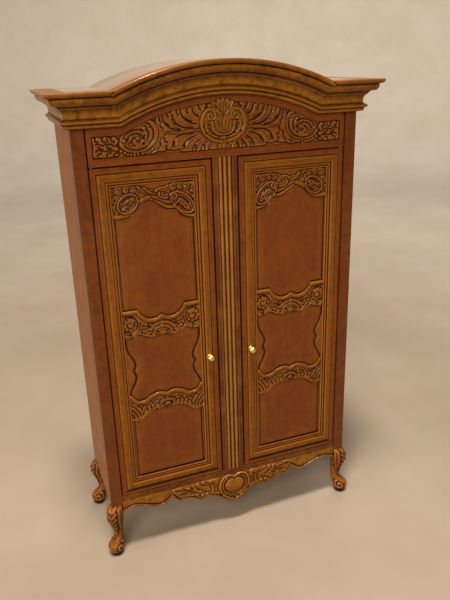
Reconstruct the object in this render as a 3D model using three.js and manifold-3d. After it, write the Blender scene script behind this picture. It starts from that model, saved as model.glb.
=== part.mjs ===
// A 1:12 dolls' house wardrobe in carved wood, in the French provincial style: two doors on hidden pins, a
// reeded pilaster between them, an arched cornice and frieze, a shaped apron and four cabriole legs.
// Millimetres. +X is the wardrobe's left-to-right as seen from the front, the front faces -Y, +Z is up, and
// the origin is on the floor under the middle of the whole piece, cornice included.
import * as THREE from "three";
import { mergeVertices } from "three/addons/utils/BufferGeometryUtils.js";
import Module from "manifold-3d";

const wasm = await Module();
wasm.setup();

// ---- Driving dimensions ----
const CASE_WIDTH = 120; // over the corner posts
const CASE_DEPTH = 44.4; // posts' front face to the back
const LEG_HEIGHT = 26; // floor to the foot of the posts
const POST_HEIGHT = 166.9; // foot of the posts to the underside of the cornice
const POST_WIDTH = 5.1;
const POST_DEPTH = 6;
const BOARD = 3.2; // thickness of doors, frieze, pilaster and apron
const SIDE_BOARD = 3;
const THIN_BOARD = 1.6; // back and shelf
const CORNICE_PROJECTION = 8.3;
const CORNICE_HEIGHT = 13;
const ARCH_HALF_SPAN = 41; // of the cornice's lower edge
const ARCH_RISE = 9.6;
const ROOF_BOARD = 2;
const DOOR_FOOT = 4.3; // door's bottom edge above the foot of the posts
const DOOR_HEIGHT = 148;
const DOOR_GAP = 0.45; // round the sides and top of a door
const DOOR_GAP_BELOW = 0.25;
const PILASTER_HALF = 5.45;
const FRAME_BAR = 7.6; // width of a door's moulded bars
const PIN_DIAMETER = 0.8;
const PIN_BORE = 0.96;
const PIN_INSET = 1; // pin axis behind the door's face and in from its edge
const PIN_REACH = 2.2; // into the door and into the case
const KNOB_RADIUS = 1.6;
const KNOB_INSET = 4; // knob axis in from the door's inner edge
const KNOB_HEIGHT = 62; // above the door's bottom edge
const SHELF_HEIGHT = 150; // above the floor
const RAIL_DROP = 9; // rail axis below the shelf
const RAIL_DIAMETER = 2.4;
const GLUE = 0.06; // joint between glued pieces

// ---- Derived places ----
const CASE_HALF = CASE_WIDTH / 2;
const BACK_Y = (CASE_DEPTH + GLUE + CORNICE_PROJECTION) / 2;
const FRONT_Y = BACK_Y - CASE_DEPTH;
const FOOT_Z = LEG_HEIGHT;
const CORNICE_Z = FOOT_Z + POST_HEIGHT;
const ROOF_Z = CORNICE_Z + CORNICE_HEIGHT;
const OPENING_HALF = CASE_HALF - POST_WIDTH;
const DOOR_Z = FOOT_Z + DOOR_FOOT;
const DOOR_TOP_Z = DOOR_Z + DOOR_HEIGHT;
const DOOR_OUTER = OPENING_HALF - DOOR_GAP;
const DOOR_INNER = PILASTER_HALF + DOOR_GAP;
const DOOR_WIDTH = DOOR_OUTER - DOOR_INNER;
const DOOR_CENTRE = (DOOR_OUTER + DOOR_INNER) / 2;
const FRIEZE_Z = DOOR_TOP_Z + DOOR_GAP;
const APRON_Z = DOOR_Z - DOOR_GAP_BELOW;
const CARCASS_TOP_Z = ROOF_Z - ROOF_BOARD - GLUE;
const INSIDE_HALF = CASE_HALF - SIDE_BOARD - GLUE;
const PIN_X = DOOR_OUTER - PIN_INSET;
const PIN_Y = FRONT_Y + PIN_INSET;

// The arch is a circle through the lower edge's two ends and its crown.
const ARCH_RADIUS = (ARCH_HALF_SPAN ** 2 + ARCH_RISE ** 2) / (2 * ARCH_RISE);
const ARCH_CENTRE_Z = CORNICE_Z + ARCH_RISE - ARCH_RADIUS;
const ARCH_HALF_ANGLE = Math.asin(ARCH_HALF_SPAN / ARCH_RADIUS);
const ARCH_STEPS = 22;

// ---- Materials ----
const FINISHES = {
  case_wood: { color: 0x6e3d1f, roughness: 0.45, metalness: 0 },
  moulded_wood: { color: 0x7d4a1e, roughness: 0.42, metalness: 0 },
  carved_wood: { color: 0x86531f, roughness: 0.5, metalness: 0 },
  door_panel_wood: { color: 0x7a4020, roughness: 0.4, metalness: 0 },
  inside_wood: { color: 0x8a5a33, roughness: 0.6, metalness: 0 },
  brass: { color: 0xc9a24a, roughness: 0.25, metalness: 1 },
  steel_pin: { color: 0x8d8f93, roughness: 0.35, metalness: 1 },
};

const wardrobe = new THREE.Group();

function addPiece(name, geometry, finish) {
  const mesh = new THREE.Mesh(geometry, new THREE.MeshStandardMaterial(FINISHES[finish]));
  mesh.name = name;
  wardrobe.add(mesh);
  return mesh;
}

// ---- Shape helpers ----
function boxBetween(x0, x1, y0, y1, z0, z1) {
  const box = new THREE.BoxGeometry(x1 - x0, y1 - y0, z1 - z0);
  return box.translate((x0 + x1) / 2, (y0 + y1) / 2, (z0 + z1) / 2);
}

// An outline of [x, z] points, extruded from front to back.
function plate(outline, frontY, backY, holes = []) {
  const shape = new THREE.Shape(outline.map(([x, z]) => new THREE.Vector2(x, z)));
  for (const hole of holes) {
    shape.holes.push(new THREE.Path(hole.map(([x, z]) => new THREE.Vector2(x, z))));
  }
  const solid = new THREE.ExtrudeGeometry(shape, { depth: backY - frontY, bevelEnabled: false });
  return solid.rotateX(Math.PI / 2).translate(0, backY, 0);
}

// A smooth line through [x, z] points.
function smooth(points, steps) {
  const curve = new THREE.SplineCurve(points.map(([x, z]) => new THREE.Vector2(x, z)));
  return curve.getPoints(steps).map((p) => [p.x, p.y]);
}

const mirrored = (points) => points.map(([x, z]) => [-x, z]).reverse();
const moved = (points, dx, dz) => points.map(([x, z]) => [x + dx, z + dz]);

// A line drawn from its right-hand end to the middle, carried on to the left by its mirror image.
function bothSides(rightToMiddle) {
  return [...rightToMiddle, ...mirrored(rightToMiddle).slice(1)];
}

// A ring of [x, z] points on a tilted ellipse.
function oval(cx, cz, rx, rz, tilt = 0, steps = 20) {
  return Array.from({ length: steps }, (_, i) => {
    const a = (2 * Math.PI * i) / steps;
    const [x, z] = [rx * Math.cos(a), rz * Math.sin(a)];
    return [cx + x * Math.cos(tilt) - z * Math.sin(tilt), cz + x * Math.sin(tilt) + z * Math.cos(tilt)];
  });
}

// A pointed leaf that starts at (x, z) and runs the way the angle says.
function leaf(x, z, angle, length, width) {
  const side = [[0, 0], [length * 0.3, width * 0.42], [length * 0.65, width * 0.4], [length, 0]];
  const edge = smooth(side, 5);
  const outline = [...edge, ...edge.slice(1, -1).reverse().map(([s, t]) => [s, -t])];
  return outline.map(([s, t]) => [
    x + s * Math.cos(angle) - t * Math.sin(angle),
    z + s * Math.sin(angle) + t * Math.cos(angle),
  ]);
}

// A solid through a row of matching point loops, closed at both ends. The cap outline is one loop, drawn flat.
function loft(loops, capOutline) {
  const count = loops[0].length;
  const positions = loops.flat().flatMap((p) => [p.x, p.y, p.z]);
  const index = [];
  for (let i = 0; i + 1 < loops.length; i++) {
    for (let j = 0; j < count; j++) {
      const k = (j + 1) % count;
      const [a, b, c, d] = [i * count + j, i * count + k, (i + 1) * count + k, (i + 1) * count + j];
      index.push(a, b, c, a, c, d);
    }
  }
  const cap = THREE.ShapeUtils.triangulateShape(capOutline, []);
  const turned = THREE.ShapeUtils.area(capOutline) < 0;
  const last = (loops.length - 1) * count;
  for (const [a, b, c] of cap) {
    const [p, q] = turned ? [b, c] : [c, b];
    index.push(a, p, q, last + a, last + q, last + p);
  }
  const solid = new THREE.BufferGeometry();
  solid.setAttribute("position", new THREE.Float32BufferAttribute(positions, 3));
  solid.setIndex(index);
  return signedVolume(solid) < 0 ? turnedInsideOut(solid) : solid;
}

function signedVolume(geometry) {
  const p = geometry.getAttribute("position");
  const corner = (i) => new THREE.Vector3().fromBufferAttribute(p, i);
  let sum = 0;
  for (let i = 0; i < geometry.index.count; i += 3) {
    const [a, b, c] = [0, 1, 2].map((k) => corner(geometry.index.getX(i + k)));
    sum += a.dot(b.cross(c)) / 6;
  }
  return sum;
}

function turnedInsideOut(geometry) {
  geometry.setIndex(Array.from(geometry.index.array).reverse());
  return geometry;
}

function toSolid(geometry) {
  const bare = new THREE.BufferGeometry();
  bare.setAttribute("position", geometry.getAttribute("position"));
  bare.setIndex(geometry.index);
  const merged = mergeVertices(bare, 1e-4);
  const vertProperties = new Float32Array(merged.getAttribute("position").array);
  const triVerts = new Uint32Array(merged.index.array);
  return new wasm.Manifold(new wasm.Mesh({ numProp: 3, vertProperties, triVerts }));
}

function toGeometry(solid) {
  const mesh = solid.getMesh();
  const geometry = new THREE.BufferGeometry();
  geometry.setAttribute("position", new THREE.BufferAttribute(mesh.vertProperties, 3));
  geometry.setIndex(new THREE.BufferAttribute(mesh.triVerts, 1));
  geometry.computeVertexNormals();
  return geometry;
}

function joined(geometries) {
  return toGeometry(geometries.map(toSolid).reduce((all, next) => all.add(next)));
}

function cut(geometry, tools) {
  return toGeometry(tools.map(toSolid).reduce((rest, tool) => rest.subtract(tool), toSolid(geometry)));
}

function common(geometry, other) {
  return toGeometry(toSolid(geometry).intersect(toSolid(other)));
}

function uprightRod(x, y, z0, z1, diameter) {
  const rod = new THREE.CylinderGeometry(diameter / 2, diameter / 2, z1 - z0, 16);
  return rod.rotateX(Math.PI / 2).translate(x, y, (z0 + z1) / 2);
}

// ---- Carcass ----
function addCarcass() {
  const panelBack = BACK_Y - THIN_BOARD;
  for (const [side, s] of [["left", -1], ["right", 1]]) {
    const between = (a, b) => [Math.min(s * a, s * b), Math.max(s * a, s * b)];
    const [p0, p1] = between(OPENING_HALF, CASE_HALF);
    const post = boxBetween(p0, p1, FRONT_Y, FRONT_Y + POST_DEPTH, FOOT_Z, CARCASS_TOP_Z);
    addPiece(`corner_post_${side}`, post, "case_wood");
    const [s0, s1] = between(CASE_HALF - SIDE_BOARD, CASE_HALF);
    const sideY = FRONT_Y + POST_DEPTH + GLUE;
    addPiece(`side_panel_${side}`, boxBetween(s0, s1, sideY, BACK_Y, FOOT_Z, CARCASS_TOP_Z), "case_wood");
  }
  const bottomZ = APRON_Z - SIDE_BOARD;
  const insideY = FRONT_Y + BOARD + GLUE;
  const fitsBehindPosts = (z0, z1) => {
    const wide = boxBetween(-INSIDE_HALF, INSIDE_HALF, FRONT_Y + POST_DEPTH + GLUE, panelBack - GLUE, z0, z1);
    const tongue = OPENING_HALF - GLUE;
    const front = boxBetween(-tongue, tongue, insideY, FRONT_Y + POST_DEPTH + 1, z0, z1);
    return joined([wide, front]);
  };
  addPiece("bottom_board", fitsBehindPosts(bottomZ, APRON_Z), "inside_wood");
  addPiece("top_board", fitsBehindPosts(FRIEZE_Z + GLUE, FRIEZE_Z + SIDE_BOARD - GLUE), "inside_wood");

  const backFoot = bottomZ - 1;
  const underRoof = roofLine(INSIDE_HALF, ROOF_BOARD + GLUE);
  const back = [[INSIDE_HALF, backFoot], ...underRoof, [-INSIDE_HALF, backFoot]];
  addPiece("back_panel", plate(back, panelBack, BACK_Y), "inside_wood");
}

// The roof's line from right to left, lowered by a depth and ending at a half width: flat, arch, flat.
function roofLine(halfWidth, below) {
  const radius = ARCH_RADIUS + CORNICE_HEIGHT - below;
  const flatZ = ROOF_Z - below;
  const halfAngle = Math.acos((flatZ - ARCH_CENTRE_Z) / radius);
  return [[halfWidth, flatZ], ...arcPoints(radius, halfAngle), [-halfWidth, flatZ]];
}

function arcPoints(radius, halfAngle) {
  return Array.from({ length: ARCH_STEPS + 1 }, (_, i) => {
    const a = halfAngle * (1 - (2 * i) / ARCH_STEPS);
    return [radius * Math.sin(a), ARCH_CENTRE_Z + radius * Math.cos(a)];
  });
}

// ---- Frieze, pilaster and apron ----
const FRIEZE_GROUND = 0.9; // depth of the carved ground below the frieze's face
const FRIEZE_BORDER = 2.6; // plain wood between the ground and the cornice
const GROUND_HALF = 52.4;
const GROUND_Z = FRIEZE_Z + 2.9;
const GROUND_SHOULDER_Z = FRIEZE_Z + 11.1;
const PLUME_Z = CORNICE_Z + 2; // middle of the ground's round top, behind the cartouche's plume
const PLUME_RADIUS = 6.6;

function groundOutline(inset) {
  const radius = ARCH_RADIUS - FRIEZE_BORDER - inset;
  const half = GROUND_HALF - inset;
  const shoulderZ = GROUND_SHOULDER_Z - inset;
  const arc = arcPoints(radius, Math.acos((shoulderZ - ARCH_CENTRE_Z) / radius));
  const z = GROUND_Z + inset;
  return [[half, z], [half, shoulderZ], ...arc, [-half, shoulderZ], [-half, z]];
}

function addFrieze() {
  const half = OPENING_HALF - GLUE;
  const outline = [[half, FRIEZE_Z], ...roofLine(half, ROOF_BOARD + GLUE), [-half, FRIEZE_Z]];
  const panel = plate(outline, FRONT_Y, FRONT_Y + BOARD);
  const ground = plate(groundOutline(0), FRONT_Y - 1, FRONT_Y + FRIEZE_GROUND);
  const plume = plate(oval(0, PLUME_Z, PLUME_RADIUS, PLUME_RADIUS), FRONT_Y - 1, FRONT_Y + FRIEZE_GROUND);
  const bore = (s) => uprightRod(s * PIN_X, PIN_Y, FRIEZE_Z - 1, FRIEZE_Z + PIN_REACH, PIN_BORE);
  const bores = [bore(-1), bore(1)];
  addPiece("frieze_panel", cut(panel, [ground, plume, ...bores]), "moulded_wood");
}

// The pilaster's section: a flat, three half-round reeds with grooves between them, and a flat.
function addPilaster() {
  const reed = { half: 0.75, pitch: 2.1, below: 0.05, groove: 0.7 };
  const reeds = [];
  for (const centre of [-reed.pitch, 0, reed.pitch]) {
    for (let i = 0; i <= 6; i++) {
      const a = Math.PI * (i / 6);
      reeds.push([centre - reed.half * Math.cos(a), reed.groove * (1 - Math.sin(a)) + reed.below]);
    }
  }
  const edge = reed.pitch + reed.half + 0.3;
  const front = [[-PILASTER_HALF, 0], [-edge, 0], ...reeds, [edge, 0], [PILASTER_HALF, 0]];
  const section = [...front, [PILASTER_HALF, BOARD], [-PILASTER_HALF, BOARD]];
  const outline = section.map(([x, y]) => new THREE.Vector2(x, FRONT_Y + y));
  const z0 = APRON_Z + GLUE;
  const length = FRIEZE_Z - GLUE - z0;
  const bar = new THREE.ExtrudeGeometry(new THREE.Shape(outline), { depth: length, bevelEnabled: false });
  addPiece("centre_pilaster", bar.translate(0, 0, z0), "moulded_wood");
}

// The apron's lower edge from the right-hand leg to the middle, as [x, drop below the foot of the posts].
const APRON_EDGE = [
  { through: [[54.84, 4.6], [49, 3], [41, 5.5], [35.5, 6.3], [31.2, 3.4]], steps: 12 },
  { through: [[31.2, 3.4], [27.5, 6.9], [24.5, 6.1], [17.5, 9.3]], steps: 9 },
  { through: [[17.5, 9.3], [12, 8.4], [7, 11.2], [3, 14], [0, 14.6]], steps: 9 },
];

function addApron() {
  const half = OPENING_HALF - GLUE;
  const rightSide = APRON_EDGE.flatMap(({ through, steps }, i) => smooth(through, steps).slice(i ? 1 : 0));
  const lower = bothSides(rightSide.map(([x, drop]) => [x, FOOT_Z - drop]));
  const outline = [...lower, [-half, APRON_Z], [half, APRON_Z]];
  const board = plate(outline, FRONT_Y, FRONT_Y + BOARD);
  const bore = (s) => uprightRod(s * PIN_X, PIN_Y, APRON_Z - PIN_REACH, APRON_Z + 1, PIN_BORE);
  addPiece("front_apron", cut(board, [bore(-1), bore(1)]), "moulded_wood");
}

// ---- Cornice and roof ----
// The moulding's section from the bottom out and up, as [projection, rise above its lower edge].
const CORNICE_SECTION = [
  [0, 0], [0.8, 0.3], [1.4, 0.6], [1.9, 1.3], [2.9, 1.5], [3.4, 1.9], [3.5, 2.5], [3, 2.9], [2, 3.2],
  [1.9, 4.2], [2.1, 5.4], [2.6, 6.6], [3.3, 7.5], [4.6, 8.1], [5.4, 8.3], [5.7, 8.7], [5.9, 9.6],
  [6.5, 10.3], [7.3, 10.6], [7.6, 11], [8.1, 11.5], [CORNICE_PROJECTION, 12.3], [8.2, CORNICE_HEIGHT],
  [0, CORNICE_HEIGHT],
];

function addCornice() {
  const cap = CORNICE_SECTION.map(([p, q]) => new THREE.Vector2(p, q));
  const faceY = FRONT_Y - GLUE;
  const at = (place) => CORNICE_SECTION.map(([p, q]) => new THREE.Vector3(...place(p, q)));
  const mitre = Math.tan(ARCH_HALF_ANGLE / 2);
  const end = (s) => at((p, q) => [s * (CASE_HALF + p), faceY - p, CORNICE_Z + q]);
  const knee = (s) => at((p, q) => [s * (ARCH_HALF_SPAN + q * mitre), faceY - p, CORNICE_Z + q]);
  const onArch = (angle) =>
    at((p, q) => {
      const r = ARCH_RADIUS + q;
      return [r * Math.sin(angle), faceY - p, ARCH_CENTRE_Z + r * Math.cos(angle)];
    });
  const arch = [];
  for (let i = 1; i < ARCH_STEPS; i++) arch.push(onArch(ARCH_HALF_ANGLE * ((2 * i) / ARCH_STEPS - 1)));
  addPiece("cornice_front", loft([end(-1), knee(-1), ...arch, knee(1), end(1)], cap), "moulded_wood");

  for (const [side, s] of [["left", -1], ["right", 1]]) {
    const x = (p) => s * (CASE_HALF + GLUE + p);
    const front = at((p, q) => [x(p), FRONT_Y - p + GLUE, CORNICE_Z + q]);
    const back = at((p, q) => [x(p), BACK_Y, CORNICE_Z + q]);
    addPiece(`cornice_${side}`, loft([front, back], cap), "moulded_wood");
  }
  const roof = [...roofLine(CASE_HALF, 0), ...roofLine(CASE_HALF, ROOF_BOARD).reverse()];
  addPiece("roof_board", plate(roof, FRONT_Y, BACK_Y), "case_wood");
}

// ---- Legs ----
// Sections of a cabriole leg from the top down: height, outward shift, and half-sizes along and across it.
const LEG_SECTIONS = [
  { z: 26, shift: 0.2, along: 3.1, across: 2.9 },
  { z: 24, shift: 1.6, along: 3.8, across: 3.3 },
  { z: 21, shift: 2.6, along: 3.9, across: 3.5 },
  { z: 18, shift: 2.4, along: 3.5, across: 3.2 },
  { z: 15, shift: 1.7, along: 2.9, across: 2.8 },
  { z: 12, shift: 1.2, along: 2.4, across: 2.4 },
  { z: 9.5, shift: 1.2, along: 2.1, across: 2.2 },
  { z: 7.5, shift: 2.2, along: 2.7, across: 2.5 },
  { z: 5.5, shift: 3.7, along: 3.6, across: 3 },
  { z: 3.5, shift: 4.1, along: 3.7, across: 3.1 },
  { z: 1.8, shift: 4.0, along: 3.2, across: 2.8 },
  { z: 0, shift: 4.1, along: 2.5, across: 2.4 },
];
const LEG_SIDES = 14;
const APRON_END_Z = FOOT_Z - 5; // the front legs are notched for the apron's ends above this height

function addLeg(name, x, y, outward) {
  const direction = new THREE.Vector2(...outward).normalize();
  const ring = ({ shift, along, across }) =>
    Array.from({ length: LEG_SIDES }, (_, i) => {
      const a = (2 * Math.PI * i) / LEG_SIDES;
      const [s, t] = [shift + along * Math.cos(a), across * Math.sin(a)];
      return new THREE.Vector2(x + s * direction.x - t * direction.y, y + s * direction.y + t * direction.x);
    });
  const top = FOOT_Z - GLUE;
  const loops = LEG_SECTIONS.map((section) => {
    const z = (section.z / LEG_HEIGHT) * top;
    return ring(section).map((p) => new THREE.Vector3(p.x, Math.min(p.y, BACK_Y), z));
  });
  const notchBack = FRONT_Y + BOARD + GLUE;
  const notch = boxBetween(-OPENING_HALF, OPENING_HALF, -BACK_Y, notchBack, APRON_END_Z, FOOT_Z);
  addPiece(name, cut(loft(loops, ring(LEG_SECTIONS[0])), [notch]), "carved_wood");
}

function addLegs() {
  const legX = CASE_HALF - 3;
  for (const [side, s] of [["left", -1], ["right", 1]]) {
    addLeg(`leg_front_${side}`, s * legX, FRONT_Y + 3.1, [s, -1]);
    addLeg(`leg_back_${side}`, s * (legX - 0.4), BACK_Y - 3.6, [s, 0]);
  }
}

// ---- Doors ----
// A door bar's section, as [distance in from the door's edge, depth behind its face].
const BAR_SECTION = [
  [0, BOARD], [0, 0], [2.1, 0], [2.35, 0.5], [2.6, 0.2], [4.1, 0.05], [5.4, 0.3], [5.7, 0.9], [6, 0.45],
  [6.8, 0.35], [7.35, 0.6], [FRAME_BAR, 1.2], [FRAME_BAR, BOARD],
];
const PANEL_GROUND = 1.4; // depth of the panel's ground behind the door's face
const FIELD_DEPTH = 0.9; // depth of the raised fields behind the door's face
const FIELD_HALF = 15;

// Edges of the three carvings, from the right to the middle: [distance from the door's middle line, height].
const EDGES = {
  crestLow: smooth([[16.6, 127], [12, 129], [7, 132.7], [0, 135.2]], 10),
  midTop: [[16.6, 88.9], ...smooth([[10.4, 88.9], [8.4, 86], [4.8, 84.1], [0, 85.7]], 8)],
  midLow: smooth([[16.6, 76.6], [10.5, 77.8], [5, 75.8], [0, 76.4]], 8),
  lowTop: smooth([[16.6, 49.4], [11.8, 46.4], [5, 49.3], [0, 48.2]], 9),
  lowLow: smooth([[16.6, 39], [13.4, 37.2], [8.4, 40.3], [0, 40.8]], 9),
};
const FIELD_SIDE = [
  ...smooth([[15.3, 73.5], [14.4, 68.5], [12.5, 63.8], [13.1, 61]], 7),
  ...smooth([[13.1, 61], [12.5, 58.4], [14.4, 54], [15.3, 50.5]], 7).slice(1),
];
const CREST_TOP = DOOR_HEIGHT - FRAME_BAR;

// The part of an edge that lies within a half width, starting exactly on that width.
function clipped(edge, reach) {
  const first = edge.findIndex(([x]) => x < reach);
  const [[x0, z0], [x1, z1]] = [edge[first - 1], edge[first]];
  return [[reach, z0 + ((z1 - z0) * (reach - x0)) / (x1 - x0)], ...edge.slice(first)];
}

function fieldOutlines() {
  const clear = 0.35;
  const upper = {
    low: bothSides(moved(clipped(EDGES.midTop, FIELD_HALF), 0, clear)),
    high: bothSides(moved(clipped(EDGES.crestLow, FIELD_HALF), 0, -clear)),
  };
  const foot = FRAME_BAR + 1.6;
  const lower = {
    low: [[FIELD_HALF, foot], [-FIELD_HALF, foot]],
    high: bothSides(moved(clipped(EDGES.lowLow, FIELD_HALF), 0, -clear)),
  };
  const middle = {
    low: bothSides(moved(clipped(EDGES.lowTop, FIELD_HALF), 0, clear)),
    high: bothSides(moved(clipped(EDGES.midLow, FIELD_HALF), 0, -clear)),
  };
  const outline = ({ low, high }, side = []) => [...side, ...low, ...mirrored(side), ...[...high].reverse()];
  return [outline(upper), outline(middle, FIELD_SIDE), outline(lower)];
}

// A moulded bar with both ends mitred at 45 degrees. place(along, inward, depth) gives the point.
function bar(length, place) {
  const cap = BAR_SECTION.map(([u, d]) => new THREE.Vector2(u, d));
  const start = BAR_SECTION.map(([u, d]) => place(u + GLUE / 2, u, d));
  const end = BAR_SECTION.map(([u, d]) => place(length - u - GLUE / 2, u, d));
  return loft([start, end], cap);
}

function carvingPlate(low, high, depth0, depth1) {
  const outline = [...low, ...[...high].reverse()];
  return plate(outline, FRONT_Y + depth0, FRONT_Y + depth1);
}

// A carved piece of a door: a thin backing, an oval shell in the middle and a scroll and leaf on each side.
function carvedBand(low, high, { centreZ, scrollX, scrollZ, scrollTilt, shell }) {
  const top = FRONT_Y + 0.3;
  const base = FRONT_Y + 0.95;
  const parts = [carvingPlate(low, high, 0.9, PANEL_GROUND - GLUE)];
  const relief = (outline) => parts.push(plate(outline, top, base));
  relief(oval(0, centreZ, shell[0], shell[1]));
  for (const s of [-1, 1]) {
    relief(oval(s * scrollX, scrollZ, 2.6, 1.9, s * scrollTilt, 14));
    const inward = s > 0 ? Math.PI : 0;
    relief(leaf(s * (scrollX - 2), scrollZ, inward - s * 0.1, scrollX - shell[0] - 1.2, 1.8));
  }
  return common(joined(parts), carvingPlate(low, high, 0, PANEL_GROUND - GLUE));
}

function addDoor(side, s) {
  const centreX = s * DOOR_CENTRE;
  const half = DOOR_WIDTH / 2;
  const place = (x, z, d) => new THREE.Vector3(centreX + x, FRONT_Y + d, DOOR_Z + z);
  const stile = (hand) => bar(DOOR_HEIGHT, (a, u, d) => place(hand * (half - u), a, d));
  const rail = (z, up) => bar(DOOR_WIDTH, (a, u, d) => place(a - half, z + up * u, d));

  const pinBore = (z) => uprightRod(s * PIN_X, PIN_Y, z - PIN_REACH, z + PIN_REACH, PIN_BORE);
  const bores = [pinBore(DOOR_Z), pinBore(DOOR_TOP_Z)];
  addPiece(`door_${side}_hinge_stile`, cut(stile(s), bores), "moulded_wood");

  const knobX = s * (DOOR_INNER + KNOB_INSET);
  const knobZ = DOOR_Z + KNOB_HEIGHT;
  const shankBore = new THREE.CylinderGeometry(0.5, 0.5, 5, 16).translate(knobX, FRONT_Y, knobZ);
  addPiece(`door_${side}_lock_stile`, cut(stile(-s), [shankBore]), "moulded_wood");
  addPiece(`door_${side}_top_rail`, cut(rail(DOOR_HEIGHT, -1), bores), "moulded_wood");
  addPiece(`door_${side}_bottom_rail`, cut(rail(0, 1), bores), "moulded_wood");

  const inner = half - FRAME_BAR - GLUE;
  const low = FRAME_BAR + GLUE;
  const high = DOOR_HEIGHT - FRAME_BAR - GLUE;
  const ground = boxBetween(-inner, inner, FRONT_Y + PANEL_GROUND, FRONT_Y + BOARD, low, high);
  const fields = fieldOutlines().map((o) => plate(o, FRONT_Y + FIELD_DEPTH, FRONT_Y + PANEL_GROUND + 0.5));
  const panel = joined([ground, ...fields]);
  addPiece(`door_${side}_panel`, panel.translate(centreX, 0, DOOR_Z), "door_panel_wood");

  const top = CREST_TOP - GLUE;
  const reach = inner - GLUE;
  const trimmed = (edge) => bothSides(clipped(edge, reach));
  const crest = carvedBand(trimmed(EDGES.crestLow), [[reach, top], [-reach, top]], {
    centreZ: 138, scrollX: 11.4, scrollZ: 133.8, scrollTilt: -0.6, shell: [3, 1.8],
  });
  const middle = carvedBand(trimmed(EDGES.midLow), trimmed(EDGES.midTop), {
    centreZ: 80, scrollX: 13.4, scrollZ: 83, scrollTilt: 1.2, shell: [4, 2.6],
  });
  const lower = carvedBand(trimmed(EDGES.lowLow), trimmed(EDGES.lowTop), {
    centreZ: 43.6, scrollX: 13.4, scrollZ: 42.6, scrollTilt: -1.2, shell: [4, 2],
  });
  for (const [name, geometry] of Object.entries({ crest, middle, lower })) {
    addPiece(`door_${side}_${name}_carving`, geometry.translate(centreX, 0, DOOR_Z), "carved_wood");
  }

  addPiece(`door_${side}_knob`, knob().translate(knobX, FRONT_Y, knobZ), "brass");
  for (const [end, z, clear] of [["top", DOOR_TOP_Z, DOOR_GAP], ["bottom", DOOR_Z, DOOR_GAP_BELOW]]) {
    const up = end === "top" ? 1 : -1;
    const ends = [z - up * (PIN_REACH - 0.2), z + up * (clear + PIN_REACH - 0.2)].sort((a, b) => a - b);
    addPiece(`hinge_pin_${side}_${end}`, uprightRod(s * PIN_X, PIN_Y, ...ends, PIN_DIAMETER), "steel_pin");
  }
}

// A turned knob on a shank, pointing to the front, with its rose against the door's face at y = 0.
function knob() {
  const profile = [
    [0, 2.2], [0.4, 2.2], [0.4, -0.04], [1.15, -0.04], [1.2, -0.35], [0.95, -0.55], [0.6, -0.8],
    [0.65, -1.2], [1.25, -1.6], [KNOB_RADIUS, -2.2], [1.5, -2.8], [1.1, -3.2], [0.7, -3.3], [0, -3.4],
  ];
  const turned = new THREE.LatheGeometry(profile.map(([r, y]) => new THREE.Vector2(r, y)).reverse(), 18);
  return toGeometry(toSolid(turned));
}

// ---- Carved pieces of the frieze and apron ----
function addFriezeCarving() {
  const back = FRONT_Y + FRIEZE_GROUND - GLUE;
  const relief = (outline, proud) => plate(outline, FRONT_Y - proud, back);
  const heartZ = GROUND_Z + 7.4;

  const plume = [-50, -25, 0, 25, 50].map((degrees) => {
    const angle = Math.PI / 2 - (degrees * Math.PI) / 180;
    return relief(leaf(0, heartZ + 3, angle, degrees === 0 ? 9.6 : 8.6, 3.2), 0.4);
  });
  const heart = relief(oval(0, heartZ, 8.6, 7.2, 0, 28), 0.5);
  const boss = relief(oval(0, heartZ - 0.4, 5.6, 4.4), 1);
  addPiece("frieze_cartouche", joined([heart, boss, ...plume]), "carved_wood");

  const strip = { x0: 9.4, x1: GROUND_HALF - 0.6, z0: GROUND_Z + 0.5 };
  const flat = GROUND_SHOULDER_Z - 0.6;
  const backing = [
    [strip.x0, strip.z0], [strip.x1, strip.z0], [strip.x1, flat], [42, flat],
    [34, GROUND_Z + 11.6], [22, GROUND_Z + 14.9], [strip.x0, GROUND_Z + 16.2],
  ];
  const leaves = [
    [12, 10, 1.0, 7], [16, 9, 0.9, 8], [20.5, 8, 0.8, 8.5], [12, 4.6, -0.5, 5.5], [17, 5.2, -0.6, 6.5],
    [22, 5.6, -0.6, 6.5], [42, 5, 0.35, 7], [42, 3.2, -0.2, 8.5],
  ];
  const parts = [plate(backing, FRONT_Y + FRIEZE_GROUND - 0.4, back)];
  for (const [x, z, angle, length] of leaves) {
    parts.push(relief(leaf(x, GROUND_Z + z, angle, length, 2.6), -0.1));
  }
  const ring = oval(35, GROUND_Z + 6.4, 6.6, 4.6, -0.45, 24);
  const eye = oval(35, GROUND_Z + 6.4, 4.6, 2.9, -0.45, 24);
  parts.push(plate(ring, FRONT_Y, back, [eye]), relief(oval(35, GROUND_Z + 6.2, 2.8, 1.6, -0.45, 14), -0.1));
  const insideGround = plate(groundOutline(2 * GLUE), FRONT_Y - 1, back);
  const right = common(joined(parts), insideGround);
  addPiece("frieze_carving_right", right, "carved_wood");
  addPiece("frieze_carving_left", mirrorX(right), "carved_wood");
}

function mirrorX(geometry) {
  return turnedInsideOut(geometry.clone().scale(-1, 1, 1));
}

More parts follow.
